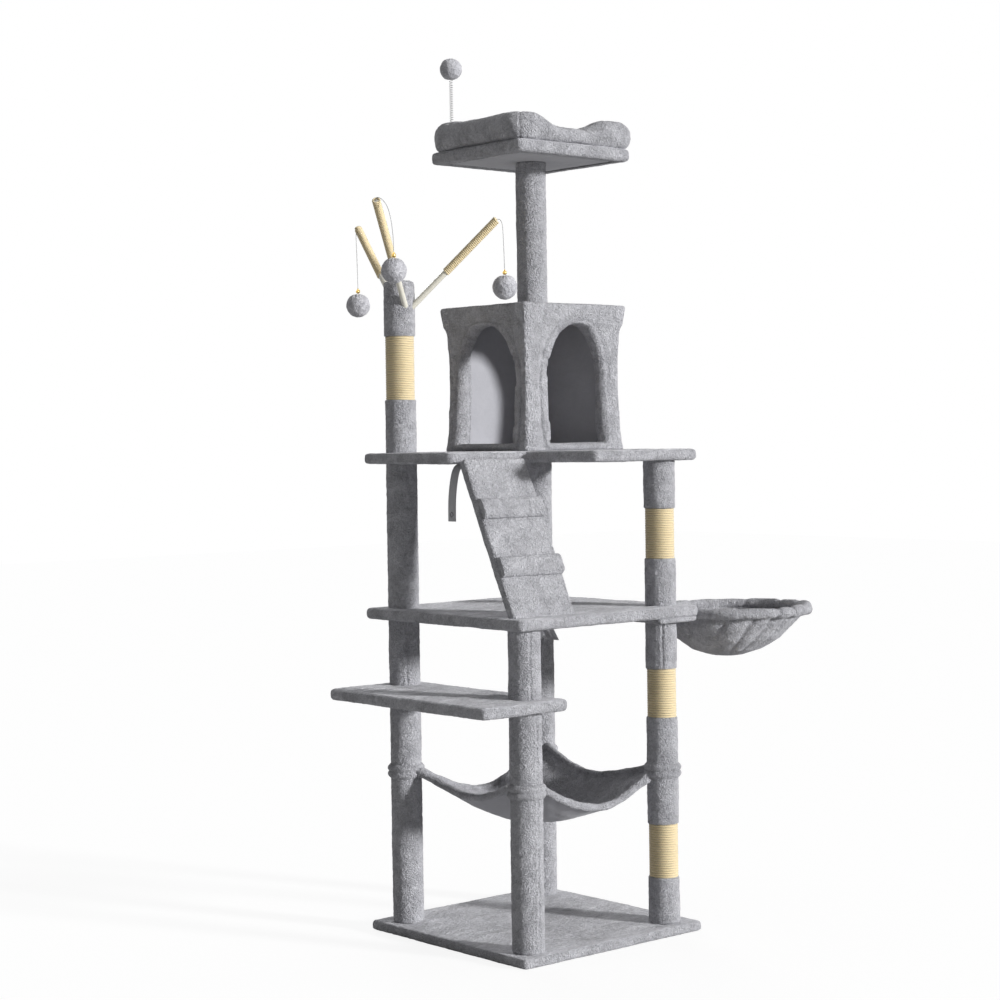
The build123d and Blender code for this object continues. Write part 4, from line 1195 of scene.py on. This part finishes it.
def casing_mesh():
    """The rolled casing: a thick soft ring, pinched where it is gathered."""
    rings = []
    for i in range(300):
        angle = 2 * pi * i / 300
        away = (angle - outer_end + pi) % (2 * pi) - pi
        full = 1 + 0.30 * exp(-(away / 0.9) ** 4) + 0.04 * sin(angle * 7) + 0.03 * sin(angle * 17)
        full -= sum(0.5 * exp(-abs(away - pinch) / 0.045) for pinch in pinches)
        full -= sum(0.12 * exp(-((away - crease) / 0.05) ** 2) for crease in creases)
        ring = []
        for j in range(28):
            turn = 2 * pi * j / 28
            reach = roll_radius * full * (1 + 0.05 * cos(3 * turn + angle * 5))
            out = hoop_radius + 3 * mm * exp(-(away / 0.5) ** 2) + reach * cos(turn)
            ring.append((hoop_middle.x + out * cos(angle), hoop_middle.y + out * sin(angle),
                         hoop_middle.z + reach * sin(turn)))
        rings.append(ring)
    return skin(rings, loop=True)


casing = keep_piece(ruffled(casing_mesh()), "basket_casing", plush, "root", "plush", "basket_rim")

# %% [markdown]
# ## Toys
# Three plush balls hang on strings from the ends of the wands. Each string leaves its wand's
# end, bends over and hangs straight under the ball's weight, so its route is a list of points
# and the curve through them is a smooth NURBS. The balls are drawn together at the top under a
# small bell, which leaves pleats.

# %% Strings
string_diameter = 1.5 * mm
# Each string: the way it bends over, in degrees; where it starts and its length, in millimetres;
# and its route from there, as (ahead, across, up) in millimetres.
strings = {
    "left": (79.8, (-152.78, 385.83, 1516.87), 140.8,
             [(0, 0, 0), (4.5, 0, 3), (9, 0, 0.5), (11.3, 0, -7), (11.5, 0, -19), (10.5, 0, -38),
              (9, 0, -64), (7.6, 0, -91), (7, 0, -113), (6.8, 0, -130)]),
    "middle": (-40.66, (-356.19, 54.0, 1537.08), 131.7,
               [(0, 0, 0), (-0.6, -2.6, 3.1), (1.6, -5.4, 5.2), (6, -7, 5), (12, -7.6, 1.5),
                (19, -8, -6), (25, -8.2, -18.5), (29.5, -8.3, -37), (32.6, -8.2, -60),
                (34.2, -8, -83), (34.2, -8, -106)]),
    "right": (311.7, (-60.74, 25.86, 1510.55), 115.9,
              [(0, 0, 0), (4.5, 0, 3), (9.3, 0, 1), (12.8, 0, -6), (14, 0, -17), (15, 0, -34),
               (15.6, 0, -59), (16.4, 0, -83), (16.6, 0, -104)]),
}


def nurbs(name, points, radius=0.0):
    """A smooth open curve controlled by the points."""
    curve = bpy.data.curves.new(name, "CURVE")
    curve.dimensions = "3D"
    spline = curve.splines.new("NURBS")
    spline.points.add(len(points) - 1)
    for point, place in zip(spline.points, points):
        point.co = (*place, 1)
    spline.order_u = 3
    spline.use_endpoint_u = True
    curve.bevel_depth = radius
    curve.bevel_resolution = 3
    curve.use_fill_caps = True
    curve.resolution_u = 8
    return curve


def toy_ball(centre, radius, ties, material):
    """A plush ball drawn together at its top, and at its foot too where two ties are asked for."""
    rings = []
    for i in range(1, 44):
        fall = pi * i / 44
        drawn = exp(-(fall / 0.75) ** 2) + (exp(-((pi - fall) / 0.6) ** 2) if ties == 2 else 0)
        ring = []
        for j in range(96):
            angle = 2 * pi * j / 96
            pleat = 0.02 * sin(angle * 12 + 1.5 * sin(angle * 3)) * exp(-((fall - 0.6) / 0.4) ** 2)
            reach = radius * (1 + pleat - 0.05 * drawn + 0.03 * (fall / pi) ** 2)
            ring.append((centre.x + reach * sin(fall) * cos(angle),
                         centre.y + reach * sin(fall) * sin(angle), centre.z + reach * cos(fall)))
        rings.append(ring)
    return ruffled(skin(rings), material, Swell_size=0.02, Swell_height=0.9 * mm, Lump_size=0.009)


for name, (heading, start, length, offsets) in strings.items():
    start = Vector(start) * mm
    ahead = Vector((cos(radians(heading)), sin(radians(heading)), 0))
    across = Vector((-ahead.y, ahead.x, 0))
    route = [start + (ahead * a + across * b + Vector((0, 0, c))) * mm for a, b, c in offsets]
    cord = bpy.data.objects.new(f"{name}_string", nurbs(f"{name}_string", route, string_diameter / 2))
    scene.collection.objects.link(cord)
    cord.data.materials.append(string_yarn)
    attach(cord, f"{name}_toy")
    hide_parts(f"{name}_toy_string")
    low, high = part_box(f"{name}_toy_ball")
    middle = (Vector(low) + Vector(high)) / 2
    radius = float(high[2] - low[2]) / 2 + pile_depth / 3
    ball = keep_piece(toy_ball(middle, radius, 1, short_plush), f"{name}_ball_plush", short_plush,
                      f"{name}_toy", "plush", f"{name}_toy_ball")

low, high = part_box("spring_ball")
middle = (Vector(low) + Vector(high)) / 2
radius = float(high[2] - low[2]) / 2
spring_toy = keep_piece(toy_ball(middle, radius, 2, short_plush), "spring_ball_plush", short_plush,
                        "spring_toy", "plush", "spring_ball")

# %% [markdown]
# ## Straps
# Two flat webbing straps are screwed under the boards: the anti-tip strap with an eyelet for a
# wall screw, and a short tail. A strap is a ribbon along its route with softly rounded edges. It
# carries a UV map in metres, so that the weave follows it round its bends.

# %% Webbing ribbons


def ribbon(name, node, board, route, y, width):
    """A woven strap under a board; its route is (x, drop below the board) in millimetres."""
    thick, edge = 1.0 * mm, 0.6 * mm
    under_board = float(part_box(f"{board}_cover")[0][2])
    places = [Vector((x * mm, y * mm, under_board - thick - drop * mm)) for x, drop in route]
    guide = bpy.data.objects.new("guide", nurbs("guide", places))
    scene.collection.objects.link(guide)
    graph = bpy.context.evaluated_depsgraph_get()
    line = bpy.data.meshes.new_from_object(guide.evaluated_get(graph), depsgraph=graph)
    path = [v.co.copy() for v in line.vertices]
    bpy.data.objects.remove(guide)
    half = width * mm / 2
    face = [(-half, 0.3), (-half + edge, 1), (-half / 2, 1), (0, 1), (half / 2, 1), (half - edge, 1),
            (half, 0.3)]
    section = face + [(side, -out) for side, out in reversed(face)]
    rings, lengths, run = [], [], 0.0
    for i, here in enumerate(path):
        ahead = (path[min(i + 1, len(path) - 1)] - path[max(i - 1, 0)]).normalized()
        outward = ahead.cross(Vector((0, 1, 0))).normalized()
        run += (here - path[i - 1]).length if i else 0.0
        lengths.append(run)
        rings.append([here + Vector((0, side, 0)) + outward * out * thick for side, out in section])
    mesh = skin(rings)
    cloth = mesh.uv_layers.new(name="cloth")
    for loop in mesh.loops:
        i, j = divmod(loop.vertex_index, len(section))
        cloth.data[loop.index].uv = (lengths[i], section[j][0])
    made = keep_piece(mesh, name, webbing, "root", "webbing", node)
    print(name, "length", round(run, 4))


ribbon("anti_tip_webbing", "anti_tip_strap", "upper_platform",
       [(-190, 0), (-206, 0), (-219, 10), (-226, 34), (-230, 60), (-232, 84), (-232, 118)], -22, 24)
ribbon("tail_webbing", "strap_tail", "middle_platform",
       [(142, 0), (160, 0), (171, 15), (180, 40), (199, 71)], 142, 16)
